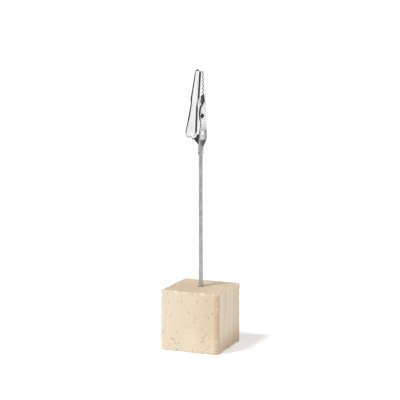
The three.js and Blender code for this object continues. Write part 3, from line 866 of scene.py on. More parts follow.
def half_outline(width_at, low, high, corners, nose_round):
    """One side of an outline from low up to the nose's middle, with the nose's corner rounded."""
    up = spaced(low, high - nose_round, corners)
    turn = np.linspace(0, math.pi / 2, NOSE_STEPS + 1)[1:]
    half = width_at(up)
    nose = half[-1] - nose_round + nose_round * np.cos(turn), high - nose_round + nose_round * np.sin(turn)
    middle = np.linspace(nose[0][-1], 0, END_STEPS + 1)[1:]
    across = np.concatenate([half, nose[0], middle])
    return np.stack([across, np.concatenate([up, nose[1], np.full(END_STEPS, high)])], axis=1)


def lever_plate(plan):
    """The lever plate's outer face, lower by CROWN times the square of the share of the way across."""
    return lever_out(plan[..., 1]) + CROWN * (1 - (plan[..., 0] / THUMB_HALF) ** 2) - CROWN


flat_across = np.linspace(0, THUMB_HALF - THUMB_CORNER, END_STEPS + 1)[:-1]
flat_end = np.stack([flat_across, np.full(END_STEPS, lever_end)], axis=1)
turn = np.linspace(-math.pi / 2, 0, THUMB_STEPS + 1)[:-1]
thumb = np.stack([
    THUMB_HALF - THUMB_CORNER + THUMB_CORNER * np.cos(turn),
    lever_end + THUMB_CORNER + THUMB_CORNER * np.sin(turn),
], axis=1)
lever_nose = lever_top - NOSE_SHORT
rise = half_outline(lever_half_width, lever_end + THUMB_CORNER, lever_nose, lever_edge[:, 1], NOSE_ROUND)
right = np.concatenate([flat_end, thumb, rise])
lever_side = np.concatenate([right, right[-2:0:-1] * [-1, 1]])
print("lever outline has", len(lever_side), "points")

# %% lever jaw
NEAR_FOLD, FAR_FOLD, LOW_FOLD, NOSE_FOLD, END_FOLD = 1.25, 1.8, 1.0, 0.92, 1.0
FAR_FOLD_GROWS = (-8, 3)
WIDEST_FOLD = 0.6
NOSE_BLEND = 2.2
lever_up = lever_side[:, 1]
lever_free = np.interp(lever_up, lever_edge[:, 1], lever_edge[:, 0])
lever_bend = np.minimum(FOLD, lever_out(lever_up) - lever_free - CUT_ROUND)
lever_inward = inward_normal(lever_side, True)
far_fold = LOW_FOLD + (FAR_FOLD - LOW_FOLD) * ease(lever_up, *FAR_FOLD_GROWS)
side_fold = np.where(lever_side[:, 0] > 0, far_fold, NEAR_FOLD)
side_fold = np.minimum(side_fold, WIDEST_FOLD * lever_half_width(lever_up))
tip_fold = np.where(lever_inward[:, 1] > 0, END_FOLD, NOSE_FOLD)
lever_fold = side_fold + (tip_fold - side_fold) * lever_inward[:, 1] ** 2
at_nose = ease(lever_up, lever_nose - NOSE_BLEND, lever_nose - NOSE_ROUND)
lever_fold += (np.minimum(lever_fold, NOSE_FOLD) - lever_fold) * at_nose
lever_spine = np.clip(lever_up, lever_end + THUMB_CORNER, lever_top - TIP_HALF)
lever_rows, cut, inside = folded_sheet(
    lever_side, lever_inward, lever_spine, lever_plate, lever_free, lever_fold, lever_bend, -1,
    np.zeros(len(lever_side)),
)
lever_faces = grid_faces(*lever_rows.shape[:2], close_columns=True)
print("lever has", len(lever_rows), "points in a section")

# %% [markdown]
# ## The lever's ears
# Two flat tabs reach from under the lever's plate to the pivot, inside the ears of the fixed jaw. Each is a
# ring round the pivot hole whose outer edge is the tab's outline, so a section of four corners carried
# round the hole makes a closed plate.

# %% ear tabs
TAB_RADIUS, TAB_DROP, TAB_STEPS = 1.35, 3.4, 96
TAB_TOP_LOWER, TAB_SHOULDER_LOWER = 1.6, 0.4
PIVOT_HOLE = 0.67
tab_under = 0.5 * SHEET
tab_top, tab_shoulder = EAR_HALF_LENGTH - TAB_TOP_LOWER, EAR_HALF_LENGTH - TAB_SHOULDER_LOWER
tab_corners = np.concatenate([
    [[lever_out(tab_top) - tab_under, tab_top], [lever_bite(EAR_HALF_LENGTH) + EAR_ROOM, tab_shoulder]],
    arc(PIVOT_OUT, 0, TAB_RADIUS, TAB_RADIUS, 120, 270),
    [[PIVOT_OUT, -TAB_DROP], [lever_out(-TAB_DROP) - tab_under, -TAB_DROP]],
])
tab_corners = np.concatenate([tab_corners, tab_corners[:1]])
walked = np.concatenate([[0], np.cumsum(np.linalg.norm(np.diff(tab_corners, axis=0), axis=1))])
at = np.linspace(0, walked[-1], TAB_STEPS + 1)[:-1]
tab_line = np.stack([np.interp(at, walked, tab_corners[:, i]) for i in (0, 1)], axis=1)
ray = tab_line - [PIVOT_OUT, 0]
hole_line = [PIVOT_OUT, 0] + PIVOT_HOLE * ray / np.linalg.norm(ray, axis=1)[:, None]


def ear_tab(face):
    """Four rings: hole and outline on the outer face, then outline and hole on the inner one."""
    faces = [face, face, face - np.sign(face) * SHEET, face - np.sign(face) * SHEET]
    lines = [hole_line, tab_line, tab_line, hole_line]
    return np.stack([np.column_stack([np.full(len(line), x), line]) for x, line in zip(faces, lines)])


tabs = [ear_tab(NECK_HALF), ear_tab(-NECK_HALF)]
tab_faces = grid_faces(4, len(tab_line), close_rows=True, close_columns=True)
print("a tab has", len(tab_line), "points round its outline")

# %% whole lever
def oriented(points, faces):
    """The faces, turned round if they point inwards."""
    return faces if volume(points.reshape(-1, 3), faces) > 0 else faces[:, ::-1]


def joined(shells):
    """Several closed grids as one set of points and faces, all facing outwards."""
    starts = np.cumsum([0] + [points.size // 3 for points, _ in shells])
    faces = [oriented(points, faces) + start for (points, faces), start in zip(shells, starts)]
    return np.concatenate([points.reshape(-1, 3) for points, _ in shells]), np.concatenate(faces)


# The dark tone of the lever's cut edges, partly bare steel and partly painted shade, fades out below the
# pivot towards the thumb end.
DARK_EDGE = (-3.8, -2.8)
lever_points, all_faces = joined([(lever_rows, lever_faces)] + [(tab, tab_faces) for tab in tabs])
columns = len(lever_side)
tab_count = sum(tab.size // 3 for tab in tabs)
meets = ease(lever_up, *DARK_EDGE)
lever = make_piece(
    "lever_of_clip",
    from_clip(lever_points),
    all_faces,
    {
        "cut_edge": np.concatenate([(cut[:, None] * meets).ravel(), np.zeros(tab_count)]),
        # The ear tabs are marked as inside all over, so the finish paints shade on them.
        "inside": np.concatenate([np.repeat(inside, columns), np.ones(tab_count)]),
        "dull": np.zeros(len(lever_points)),
        "fold_shade": np.zeros(len(lever_points)),
    },
)
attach(lever, "lever")
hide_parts("lever_jaw")

# %% [markdown]
# ## The fixed jaw
# The other jaw is a channel with its plate at the back. It holds the pivot, and its tail narrows to two
# wings that are rolled round the rod and meet in a slanted seam. The same section function makes it:
# towards the tail the fold grows until plate and walls are half a pipe, and in the crimp the walls simply
# go on round the rod. The outline runs from the crimp up one side, over the nose and down the other, so its
# two ends are closed by joining the outer face to the inner one.

# %% fixed jaw outline
TAIL_HALF, EAR_HALF = 2.65, 2.5
EAR_FOOT = -EAR_HALF_LENGTH / 2
BACK_LEAN = math.tan(math.radians(2.6))
CRIMP_PLAY, CRIMP_STEP, WIDTH_EASE = 0.02, 0.06, 0.5
back_out = float(node_points("fixed_jaw")[:, 1].min())
crimp_radius = ROD_RADIUS + CRIMP_PLAY + SHEET


def fixed_half_width(up):
    """Half the fixed jaw's width: the crimp, the tail, the ears, the widest place of the jaw and the tip."""
    places = [crimp_top, taper_top, -EAR_HALF_LENGTH, EAR_FOOT, EAR_HALF_LENGTH, widest, fixed_top]
    halves = [crimp_radius, TAIL_HALF, TAIL_HALF, EAR_HALF, EAR_HALF, JAW_HALF, TIP_HALF]
    return softened(places, halves, up, WIDTH_EASE)


def fixed_plate(plan):
    """The fixed jaw's back: on the crimp close to the rod, then straight up, then leaning out to the tip."""
    up = plan[..., 1]
    above = ease(up, crimp_top, taper_top)
    bulge = CROWN * above * (plan[..., 0] / JAW_HALF) ** 2
    lean = BACK_LEAN * np.maximum(up - EAR_FOOT, 0)
    return -crimp_radius + (back_out + crimp_radius) * above + lean + bulge


crimp_steps = np.array([crimp_top - CRIMP_STEP, crimp_top, crimp_top + CRIMP_STEP, taper_top])
corners = np.unique(np.concatenate([fixed_edge[:, 1], crimp_steps]))
right = half_outline(fixed_half_width, fixed_end, fixed_top, corners, NOSE_ROUND)
fixed_side = np.concatenate([right, right[-2::-1] * [-1, 1]])
print("fixed jaw outline has", len(fixed_side), "points")

# %% fixed jaw
TIP_FOLD, TIP_FOLD_FROM, TIP_FOLD_TO = 0.39, 5, 1
PIPE_PLAY = 0.05
SEAM_GAP = 0.3
SEAM_TURN, SEAM_TILT = math.radians(50), math.radians(38)
LEAST_WRAP = 0.02
up = fixed_side[:, 1]
fixed_free = np.interp(up, fixed_edge[:, 1], fixed_edge[:, 0])
fixed_fold = FOLD + (crimp_radius - PIPE_PLAY - FOLD) * ease(-up, -taper_top, -crimp_top)
fixed_fold += (TIP_FOLD - FOLD) * ease(up, fixed_top - TIP_FOLD_FROM, fixed_top - TIP_FOLD_TO)
seam_angle = SEAM_TURN + math.tan(SEAM_TILT) * (up - (crimp_top + fixed_end) / 2) / crimp_radius
seam_reach = math.pi / 2 - np.sign(-fixed_side[:, 0]) * seam_angle - SEAM_GAP / 2 / crimp_radius
fixed_wrap = np.where(up < crimp_top - CRIMP_STEP / 2, np.maximum(seam_reach, LEAST_WRAP), 0)
fixed_spine = np.clip(up, fixed_end, fixed_top - TIP_HALF)
fixed_rows, cut, inside = folded_sheet(
    fixed_side, inward_normal(fixed_side, False), fixed_spine, fixed_plate, fixed_free, fixed_fold,
    fixed_fold, 1, fixed_wrap,
)
section, columns = fixed_rows.shape[:2]
step = np.arange(section // 2 - 1)
mirror = section - 1 - step
bottom = np.stack([step, step + 1, mirror - 1, mirror], axis=1)
end_caps = np.concatenate([bottom[:, ::-1] * columns, bottom * columns + columns - 1])
fixed_faces = np.concatenate([grid_faces(section, columns), end_caps])
print("fixed jaw has", len(end_caps), "faces on its two ends")

# %% marks on the fixed jaw
# This mark paints shade: dark along the tail's fold beside the lobes, on the corner of its taper and,
# fainter, over the crimp.
CRIMP_SHADE, LOBE_FOLD_SHADE = 0.25, 0.75
TAPER_STARTS = (crimp_top - 0.1, crimp_top + 0.3)
TAPER_ENDS = (taper_top - 0.3, taper_top + 0.2)
LOBE_ENDS = (-6.2, -5)
dull_up = [crimp_top - 0.1, crimp_top, -5, -3, EAR_HALF_LENGTH, widest + 1]
dull = np.interp(up, dull_up, [0.55, 1, 1, 0.4, 0.4, 0])
past_plate = np.arange(section) - PLATE_ROWS
on_fold = band(past_plate, 0, 3, 7, 10)[:, None]
on_corner = band(past_plate, 0, 2, 4, 8)[:, None]
on_taper = band(up, *TAPER_STARTS, *TAPER_ENDS)
along_lobe = LOBE_FOLD_SHADE * band(up, *TAPER_STARTS, *LOBE_ENDS) * (1 - on_taper)
fold_shade = np.maximum(on_fold * along_lobe + on_corner * on_taper, CRIMP_SHADE * (up < crimp_top))
fixed = make_piece(
    "fixed_jaw_of_clip",
    from_clip(fixed_rows.reshape(-1, 3)),
    fixed_faces,
    {
        "cut_edge": np.repeat(cut, columns),
        "inside": np.repeat(inside, columns),
        "dull": np.tile(dull, section),
        "fold_shade": fold_shade.ravel(),
    },
)
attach(fixed, "stand")
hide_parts("fixed_jaw")

# %% [markdown]
# ## Bright plated sheet
# The clip is stamped steel with a bright nickel plate. Outside it is nearly a mirror, a little uneven from
# the press and the plating. The cut edges were sheared after rolling, so they are rougher, and their dark
# tone is partly the bare sheared steel and partly painted shade. The inner faces and the lever's ear tabs
# carry painted shade, and so do the tail's fold beside the lobes, its taper and its crimp. The fixed jaw's
# ears and tail are greyer and blotched. Marks on the points steer all four.

# %% clip finish
nickel, tree, shader = new_finish("bright_nickel")
PLATE_LIGHT, PLATE_GREY = (0.92, 0.92, 0.925), (0.84, 0.84, 0.85)
TAIL_LIGHT, TAIL_GREY = (0.72, 0.72, 0.74), (0.48, 0.48, 0.50)
# The first tone on the next line is painted shade in the folds; the second is partly bare sheared steel and
# partly painted shade.
FOLD_SHADE_TONE, CUT_STEEL_AND_SHADE = (0.13, 0.13, 0.14), (0.30, 0.30, 0.31)
# Painted shade for the inner faces and the ear tabs, lighter on the fixed jaw's tail.
INSIDE_SHADE, INSIDE_TAIL_SHADE = (0.15, 0.15, 0.16), (0.36, 0.36, 0.37)
cut_here = mark_value(tree, "cut_edge")
inside_here = mark_value(tree, "inside")
dull_here = mark_value(tree, "dull")
smear = noise(tree, place(tree, (0.5, 0.5, 0.12)), detail=3)
blot = noise(tree, place(tree, (1.1, 1.1, 0.9)), detail=4, roughness=0.65)
scratch = noise(tree, place(tree, (9, 9, 0.35), turn_deg=(4, 7, 0)), detail=2)
colour = tint(tree, span(tree, smear, 0.35, 0.7), PLATE_LIGHT, PLATE_GREY)
tail_colour = tint(tree, span(tree, blot, 0.36, 0.66), TAIL_LIGHT, TAIL_GREY)
colour = tint(tree, dull_here, colour, tail_colour)
# Painted shade along the tail's fold, on its taper and over the crimp.
colour = tint(tree, mark_value(tree, "fold_shade"), colour, FOLD_SHADE_TONE)
# The cut edges' dark tone: partly bare sheared steel, partly painted shade.
colour = tint(tree, times(tree, cut_here, 0.85), colour, CUT_STEEL_AND_SHADE)
# The inner faces and the lever's ear tabs carry painted shade; on the tail they also lose some metal shine,
# so the room light shades them.
inside_shade_colour = tint(tree, dull_here, INSIDE_SHADE, INSIDE_TAIL_SHADE)
colour = tint(tree, times(tree, inside_here, 0.92), colour, inside_shade_colour)
tree.links.new(colour, shader.inputs["Base Color"])
shaded_tail_inside = times(tree, inside_here, dull_here)
tree.links.new(span(tree, shaded_tail_inside, 0.0, 1.0, 1.0, 0.35), shader.inputs["Metallic"])
worn = maths(tree, "MAXIMUM", cut_here, inside_here)
worn = maths(tree, "MAXIMUM", worn, times(tree, dull_here, 0.6))
polish = span(tree, smear, 0.3, 0.7, 0.07, 0.14)
tree.links.new(maths(tree, "ADD", polish, times(tree, worn, 0.32)), shader.inputs["Roughness"])
press_normal = bump(tree, smear, 0.04, 0.25)
dent_normal = bump(tree, times(tree, blot, dull_here), 0.06, 0.4, press_normal)
tree.links.new(bump(tree, scratch, 0.008, 0.3, dent_normal), shader.inputs["Normal"])
lever.data.materials.append(nickel)
fixed.data.materials.append(nickel)
print("nickel finish with", len(tree.nodes), "nodes")

# %% [markdown]
# ## The two rivets
# The pivot is a short tube whose ends were spread to a star and rolled over, so it has a flared bore and a
# split rim. The other rivet, through the tail, has low flat heads. Both are profiles turned about a line
# across the clip, from the axis at one end to the axis at the other, so both are closed bodies. The tube's
# bore is only a shallow cup at each end, because nothing shows of it deeper in, and it is painted dark as
# shade. Its splits are narrow bells taken out of the rim, and painted shade darkens them too.

# %% pivot tube
PIVOT_BORE, PIVOT_SHANK, PIVOT_FLARE, PIVOT_HEAD = 0.45, 0.55, 0.92, 1.15
LIP_OVER, LIP_HIGH = 0.1, 0.12
SPLITS, SPLIT_SPREAD, SPLIT_IN, SPLIT_DOWN, SPLIT_SHADE = 6, 0.16, 0.18, 0.1, 0.9
RIVET_SIDES, SEAT_GAP = 96, 0.02
pivot_reach = float(clip_box("pivot_rivet")[1][0])


def turned_across(radius, along, out, up, sides):
    """A profile turned about a line across the clip: (along, out + radius cos a, up + radius sin a)."""
    angle = np.arange(sides) * (2 * math.pi / sides)
    radius = np.broadcast_to(radius if radius.ndim == 2 else radius[:, None], (len(radius), sides))
    along = np.broadcast_to(along if along.ndim == 2 else along[:, None], radius.shape)
    return np.stack([along, out + radius * np.cos(angle), up + radius * np.sin(angle)], axis=-1)


pivot_seat = EAR_HALF + SEAT_GAP
lip = np.linspace(math.pi, 0, 13)
lip_middle = (PIVOT_FLARE + PIVOT_HEAD) / 2
lip_half = (PIVOT_HEAD - PIVOT_FLARE) / 2
end_radius = np.concatenate([
    [0, PIVOT_BORE / 2, PIVOT_BORE, PIVOT_BORE + 0.1], lip_middle + lip_half * np.cos(lip),
    [PIVOT_HEAD, PIVOT_HEAD - 0.06], [PIVOT_SHANK + 0.02, PIVOT_SHANK],
])
end_along = np.concatenate([
    np.full(3, pivot_seat + 0.02), [pivot_seat + 0.04], pivot_seat + LIP_OVER + LIP_HIGH * np.sin(lip),
    [pivot_seat + 0.06, pivot_seat], [pivot_seat, pivot_seat - 0.08],
])
tube_radius = np.concatenate([end_radius, end_radius[::-1]])
tube_along = np.concatenate([end_along, -end_along[::-1]])
angle = np.arange(RIVET_SIDES) * (2 * math.pi / RIVET_SIDES)
to_split = np.abs((angle + math.pi / SPLITS) % (2 * math.pi / SPLITS) - math.pi / SPLITS)
split = np.exp(-((to_split / SPLIT_SPREAD) ** 2))
on_lip = ease(tube_radius, PIVOT_FLARE - 0.05, PIVOT_FLARE + 0.05)
on_lip = (on_lip * ease(np.abs(tube_along), pivot_seat - 0.1, pivot_seat))[:, None]
radius = tube_radius[:, None] - SPLIT_IN * split * on_lip
along = tube_along[:, None] - np.sign(tube_along)[:, None] * SPLIT_DOWN * split * on_lip
# The cup at each end of the tube and the gaps between the rim's splits are painted shade.
cup_shade = 1 - ease(tube_radius, PIVOT_FLARE, PIVOT_FLARE + 0.08)[:, None]
pivot_tube = make_piece(
    "pivot_tube",
    from_clip(turned_across(radius, along, PIVOT_OUT, 0, RIVET_SIDES).reshape(-1, 3)),
    grid_faces(len(tube_radius), RIVET_SIDES, close_columns=True),
    {"bore_shade": np.maximum(cup_shade, SPLIT_SHADE * split * on_lip).ravel()},
)
print("tube reaches", round(float(along.max()), 2), "of", round(pivot_reach, 2), "mm")

# %% tail rivet
HEAD_RADIUS, HEAD_ROUND, RIVET_SHANK = 0.88, 0.2, 0.65
HEAD_DOME = 0.02
rod_rivet_reach = float(clip_box("rod_rivet")[1][0])
rivet_seat = TAIL_HALF + SEAT_GAP
bend = np.linspace(0, math.pi / 2, 7)
head_radius = np.concatenate([
    [0, 0.2, 0.4, 0.55], HEAD_RADIUS - HEAD_ROUND + HEAD_ROUND * np.sin(bend),
    [HEAD_RADIUS - 0.02, RIVET_SHANK, RIVET_SHANK],
])
head_along = np.concatenate([
    rod_rivet_reach - HEAD_DOME * np.array([0, 0.1, 0.45, 0.8]),
    rod_rivet_reach - HEAD_DOME - HEAD_ROUND + HEAD_ROUND * np.cos(bend), [rivet_seat, rivet_seat, 0.3],
])
rivet_points = turned_across(
    np.concatenate([head_radius, head_radius[::-1]]), np.concatenate([head_along, -head_along[::-1]]),
    rod_rivet_out, ROD_RIVET_UP, RIVET_SIDES,
)
tail_rivet = make_piece(
    "tail_rivet",
    from_clip(rivet_points.reshape(-1, 3)),
    grid_faces(2 * len(head_radius), RIVET_SIDES, close_columns=True),
    {"bore_shade": np.zeros(2 * len(head_radius) * RIVET_SIDES)},
)
for piece, node in ((pivot_tube, "pivot_rivet"), (tail_rivet, "rod_rivet")):
    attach(piece, "stand")
    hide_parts(node)

# %% [markdown]
# ## Rivet metal
# The rivets have the clip's plate, a little softer in shine because their heads were hammered, and the
# tube's bore and splits carry painted shade. A fine dimple pattern stands for the hammer, and a mark on
# the points paints the shade.

# %% rivet finish
rivet_metal, tree, shader = new_finish("rivet_nickel")
HEAD_LIGHT, HEAD_GREY, BORE_SHADE = (0.93, 0.93, 0.935), (0.84, 0.84, 0.85), (0.05, 0.05, 0.05)
dimple = noise(tree, place(tree, (2.2, 2.2, 2.2)), detail=2)
bore_shade_here = mark_value(tree, "bore_shade")
colour = tint(tree, span(tree, dimple, 0.35, 0.7), HEAD_LIGHT, HEAD_GREY)
# Painted shade in the tube's bore and in its splits.
tree.links.new(tint(tree, bore_shade_here, colour, BORE_SHADE), shader.inputs["Base Color"])
shader.inputs["Metallic"].default_value = 1.0
worn = span(tree, dimple, 0.3, 0.7, 0.12, 0.22)
tree.links.new(maths(tree, "ADD", worn, times(tree, bore_shade_here, 0.4)), shader.inputs["Roughness"])
tree.links.new(bump(tree, dimple, 0.03, 0.3), shader.inputs["Normal"])
pivot_tube.data.materials.append(rivet_metal)
tail_rivet.data.materials.append(rivet_metal)
print("rivet finish with", len(tree.nodes), "nodes")

# %% [markdown]
# ## The spring
# A torsion spring sits round the pivot, between the ears. One leg lies under the lever, the other on the
# floor of the channel. Its centre line is a straight leg, a coil and a straight leg that meet the coil
# along its tangents, and a round section is carried along it. Because every part of the line runs nearly
# square to the pivot, that direction serves to turn the section, with no running frame.

# %% line of the spring
WIRE, TURNS = 0.5, 3
SPRING_PLAY = 0.2
LEG_SHARE, TAIL_LEG_UP = 0.7, -4.0
COIL_STEPS, LEG_STEPS = 150, 23
coil_half = float(clip_box("jaw_spring")[1][0]) - WIRE / 2
coil_radius = PIVOT_SHANK + SPRING_PLAY + WIRE / 2
leg_up = LEG_SHARE * lever_end
lever_leg = np.array([-coil_half, lever_out(leg_up) - SHEET - SPRING_PLAY - WIRE / 2, leg_up])
tail_leg = np.array([coil_half, SPRING_PLAY + WIRE / 2 - (crimp_radius - SHEET), TAIL_LEG_UP])


def tangent_angle(leg, side):
    """The angle round the pivot where a line from the leg's end touches the coil.

    It is the end's own angle, less or more the angle whose cosine is the coil's radius over its distance."""
    away = math.hypot(leg[1] - PIVOT_OUT, leg[2])
    return math.atan2(leg[2], leg[1] - PIVOT_OUT) + side * math.acos(coil_radius / away)


first_angle = tangent_angle(lever_leg, 1)
last_angle = tangent_angle(tail_leg, -1) + 2 * math.pi * TURNS
share = np.linspace(0, 1, COIL_STEPS)
turn = first_angle + (last_angle - first_angle) * share
coil = np.stack([
    coil_half * (2 * share - 1),
    PIVOT_OUT + coil_radius * np.cos(turn),
    coil_radius * np.sin(turn),
], axis=1)
leg_share = np.linspace(0, 1, LEG_STEPS + 1)[:-1, None]
line = np.concatenate([
    lever_leg + leg_share * (coil[0] - lever_leg),
    coil,
    tail_leg + leg_share[::-1] * (coil[-1] - tail_leg),
])
print("spring wound", round((last_angle - first_angle) / (2 * math.pi), 2), "times round the pivot")

# %% spring
CAP_STEPS, CAP_DEPTH, WIRE_SIDES = 5, 0.4, 16
heading = np.gradient(line, axis=0)
heading /= np.linalg.norm(heading, axis=1)[:, None]
sideways = np.array([1.0, 0, 0]) - heading[:, :1] * heading
sideways /= np.linalg.norm(sideways, axis=1)[:, None]
upright = np.cross(heading, sideways)
cap = np.linspace(math.pi / 2, 0, CAP_STEPS + 1)[:-1]
thick = np.concatenate([np.cos(cap), np.ones(len(line)), np.cos(cap[::-1])]) * WIRE / 2
ahead = np.concatenate([-np.sin(cap), np.zeros(len(line)), np.sin(cap[::-1])]) * WIRE / 2 * CAP_DEPTH
pick = np.clip(np.arange(-CAP_STEPS, len(line) + CAP_STEPS), 0, len(line) - 1)
angle = np.arange(WIRE_SIDES) * (2 * math.pi / WIRE_SIDES)
ring = np.cos(angle)[:, None] * sideways[pick][:, None, :]
ring = ring + np.sin(angle)[:, None] * upright[pick][:, None, :]
wire_points = (line[pick] + ahead[:, None] * heading[pick])[:, None, :] + thick[:, None, None] * ring
spring = make_piece(
    "hinge_spring",
    from_clip(wire_points.reshape(-1, 3)),
    grid_faces(len(pick), WIRE_SIDES, close_columns=True),
)
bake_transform(spring)
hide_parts("jaw_spring")

# %% [markdown]
# ## Spring wire
# Hard drawn wire is darker than the plate, with a bluish grey and fine lines from the die. Fine noise does
# for the lines, since the wire is half a millimetre thick and sits inside the clip.

# %% spring finish
wire, tree, shader = new_finish("spring_wire")
WIRE_DARK, WIRE_LIGHT = (0.36, 0.36, 0.39), (0.50, 0.50, 0.52)
wire_grain = noise(tree, place(tree, (7, 7, 7)), detail=3)
wire_tone = noise(tree, place(tree, (0.7, 0.7, 0.7)), detail=2)
wire_colour = tint(tree, span(tree, wire_tone, 0.3, 0.7), WIRE_DARK, WIRE_LIGHT)
tree.links.new(wire_colour, shader.inputs["Base Color"])
shader.inputs["Metallic"].default_value = 1.0
tree.links.new(span(tree, wire_grain, 0.3, 0.7, 0.28, 0.42), shader.inputs["Roughness"])
tree.links.new(bump(tree, wire_grain, 0.01, 0.4), shader.inputs["Normal"])
spring.data.materials.append(wire)
print("spring finish with", len(tree.nodes), "nodes")

# %% [markdown]
# ## Floor, background and light
# The stand was photographed on white, with a soft main light above it on the left and light walls all
# round. The floor is a real white surface that keeps the shadow. What the camera and shiny metal see of the
# floor and the room is lifted to white through the Light Path node, so no extra light falls on the object.

# %% floor
def seen(tree):
    """Two values: 1 for rays from the camera, and 1 for rays that metal or glass send on."""
    path = add(tree, "LightPath").outputs
    return path["Is Camera Ray"], maths(tree, "MAXIMUM", path["Is Glossy Ray"], path["Is Transmission Ray"])


FLOOR_RADIUS, FLOOR_SIDES, FLOOR_DROP = 4.0, 48, 0.00002
FLOOR_WHITE = (0.82, 0.82, 0.82, 1)
LIFT_GROWS = (60, 350)
NEAR_LIFT, FAR_LIFT = 0.33, 0.7
NEAR_SHINE, FAR_SHINE = 0.1, 0.55
ring_radius = np.array([0, 0.2, 0.6, FLOOR_RADIUS])
floor_points = turned(ring_radius, np.full(len(ring_radius), -FLOOR_DROP), FLOOR_SIDES)
floor_faces = grid_faces(len(ring_radius), FLOOR_SIDES, close_columns=True)
floor_mesh = bpy.data.meshes.new("floor")
floor_mesh.from_pydata(floor_points.reshape(-1, 3).tolist(), [], floor_faces.tolist())
floor = bpy.data.objects.new("floor", floor_mesh)
bpy.context.scene.collection.objects.link(floor)
white_floor, tree, shader = new_finish("white_floor")
tree.nodes.remove(shader)
matt = add(tree, "BsdfDiffuse", {"Color": FLOOR_WHITE}).outputs[0]
from_stand = add(tree, "VectorMath", {0: place(tree)}, operation="LENGTH").outputs["Value"]
straight, shiny = seen(tree)
straight_lift = times(tree, straight, span(tree, from_stand, *LIFT_GROWS, NEAR_LIFT, FAR_LIFT))
shiny_lift = times(tree, shiny, span(tree, from_stand, *LIFT_GROWS, NEAR_SHINE, FAR_SHINE))
lift = add(tree, "Emission", {"Strength": maths(tree, "ADD", straight_lift, shiny_lift)}).outputs[0]
both = add(tree, "AddShader", {0: matt, 1: lift}).outputs[0]
tree.links.new(both, tree.nodes["Material Output"].inputs["Surface"])
floor_mesh.materials.append(white_floor)
print("floor", FLOOR_RADIUS, "m round")

# %% room
ROOM_LIGHT = 0.42
world = bpy.data.worlds.new("white_room")
bpy.context.scene.world = world
world.use_nodes = True
tree = world.node_tree
room = tree.nodes["Background"]
room.inputs["Color"].default_value = (1, 1, 1, 1)
strength = add(tree, "MapRange", {0: maths(tree, "MAXIMUM", *seen(tree)), 3: ROOM_LIGHT, 4: 1.0}).outputs[0]
tree.links.new(strength, room.inputs["Strength"])
bpy.context.scene.view_settings.view_transform = "Standard"
print("room light", ROOM_LIGHT)

# %% [markdown]
# ## Two lamps
# The main light is a square soft box, high up on the left. The rod's own shadow on the cube's top gives its
# direction, since it runs to the right and a little back, and its soft end gives the box's size. A wide,
# weak lamp on the right fills the cube's right face, as a white reflector would. A lamp's power spreads
# over the square of its distance, so the power is worked out from the share of light that it should add on
# a surface facing it.

# %% lamps
AIM_UP = 0.03


def soft_box(name, turn_deg, rise_deg, away, side, share):
    """A square lamp that faces the stand and adds a share of a white room's light there.

    Its power is the share times the surface of a sphere whose radius is its distance."""
    turn, rise = math.radians(turn_deg), math.radians(rise_deg)
    level = math.cos(rise)
    towards = Vector((math.sin(turn) * level, -math.cos(turn) * level, math.sin(rise)))
    lamp = bpy.data.lights.new(name, "AREA")
    lamp.size = side
    lamp.energy = share * 4 * math.pi * away**2
    box = bpy.data.objects.new(name, lamp)
    box.location = towards * away + Vector((0, 0, AIM_UP))
    box.rotation_euler = towards.to_track_quat("Z", "Y").to_euler()
    bpy.context.scene.collection.objects.link(box)
    print(name, round(lamp.energy, 2), "W")
    return box


soft_box("main_light", -32, 55, 0.9, 0.17, 0.56)
fill = soft_box("fill_light", 95, 22, 0.8, 0.5, 0.19)
fill.visible_glossy = False

# %% [markdown]
# ## Dark cards for the metal
# Bright metal in a white room has no outline. A photographer puts dark cards round it, outside the picture,
# and the folds of the metal then show dark lines. Each card here is part of a ring round the stand. Four
# stand upright where the clip's folds mirror them in this view, and are no larger than those lines need, so
# that from other sides the plates still mirror a light room. Six lie on the table, most of them only a
# little darker than it. Only reflections see the cards: they throw no shadow and take no light from the
# wood.

# %% card finish
CARD_WHITE, CARD_DARK = (1.0, 1.0, 1.0), (0.02, 0.02, 0.02)
card_face, tree, shader = new_finish("dark_card")
tree.nodes.remove(shader)
tone = tint(tree, mark_value(tree, "fade"), CARD_WHITE, CARD_DARK)
glow = add(tree, "Emission", {"Color": tone}).outputs[0]
tree.links.new(glow, tree.nodes["Material Output"].inputs["Surface"])
print("card finish with", len(tree.nodes), "nodes")

# %% cards as arcs
CARD_COLUMNS, CARD_ROWS = 61, 3


def dark_card(name, points, fade):
    """A card from a grid of points in metres. Fade is 0 where it is white as the room, and 1 where dark."""
    mesh = bpy.data.meshes.new(name)
    mesh.from_pydata(points.reshape(-1, 3).tolist(), [], grid_faces(*points.shape[:2]).tolist())
    layer = mesh.attributes.new("fade", "FLOAT", "POINT")
    layer.data.foreach_set("value", np.broadcast_to(fade, points.shape[:2]).ravel().astype(np.float32))
    card = bpy.data.objects.new(name, mesh)
    bpy.context.scene.collection.objects.link(card)
    mesh.materials.append(card_face)
    card.visible_camera = False
    card.visible_diffuse = False
    card.visible_shadow = False
    card.visible_transmission = False


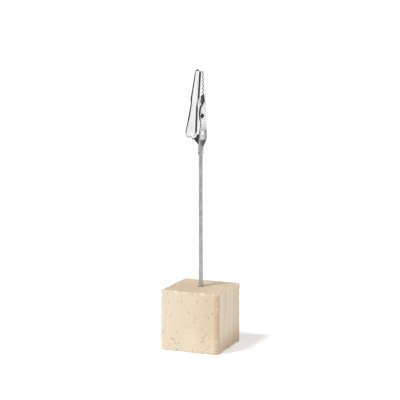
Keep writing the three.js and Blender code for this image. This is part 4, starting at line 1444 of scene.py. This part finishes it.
def arc_card(name, turns, aways, heights, soft_deg, dark, drop=0.0, arch=0.0):
    """An arc between two angles, counted from the front to the right, two distances and two heights.

    Along the arc it sinks evenly by drop, and its middle stands higher by arch, on half a wave. Its two ends
    fade to white over a soft angle."""
    degrees = np.linspace(*turns, CARD_COLUMNS)
    turn = np.radians(degrees)[None, :]
    way, share = np.linspace(0, 1, CARD_COLUMNS)[None, :], np.linspace(0, 1, CARD_ROWS)[:, None]
    away = aways[0] + share * (aways[1] - aways[0])
    height = heights[0] + share * (heights[1] - heights[0]) - drop * way + arch * np.sin(math.pi * way)
    flat = np.broadcast_arrays(away * np.sin(turn), -away * np.cos(turn), height)
    soft = math.copysign(soft_deg, turns[1] - turns[0])
    fade = band(degrees, turns[0], turns[0] + soft, turns[1] - soft, turns[1])
    dark_card(name, np.stack(flat, axis=-1), dark * fade)


print("cards of", CARD_COLUMNS, "by", CARD_ROWS, "points")

# %% ten dark cards
ON_TABLE = (0.0005, 0.0005)
arc_card("front_card", (-47, 76), (0.75, 0.75), (0.195, 0.325), 5, 1.0, drop=0.04, arch=0.075)
arc_card("low_front_card", (-52, 74), (0.74, 0.74), (0.01, 0.24), 5, 0.64)
arc_card("back_left_card", (-80.5, -164), (0.75, 0.75), (0.122, 0.258), 5, 1.0, drop=0.16)
arc_card("upper_left_card", (-116, -54), (0.75, 0.75), (0.265, 1.1), 6, 1.0)
table_cards = [
    ("front_table_card", (-62, 84), (0.12, 0.73), 18, 0.28),
    ("right_table_card", (98, 148), (0.055, 0.135), 6, 1.0),
    ("left_table_card", (-140, -76), (0.06, 0.2), 12, 0.22),
    ("back_table_card", (-170, -98), (0.205, 0.74), 8, 1.0),
    ("thumb_table_card", (-98, -70), (0.205, 0.74), 2, 0.42),
    ("side_table_card", (90, 124), (0.14, 0.56), 6, 0.22),
]
for name, turns, aways, soft_deg, dark in table_cards:
    arc_card(name, turns, aways, ON_TABLE, soft_deg, dark)
print("four standing cards and", len(table_cards), "on the table")
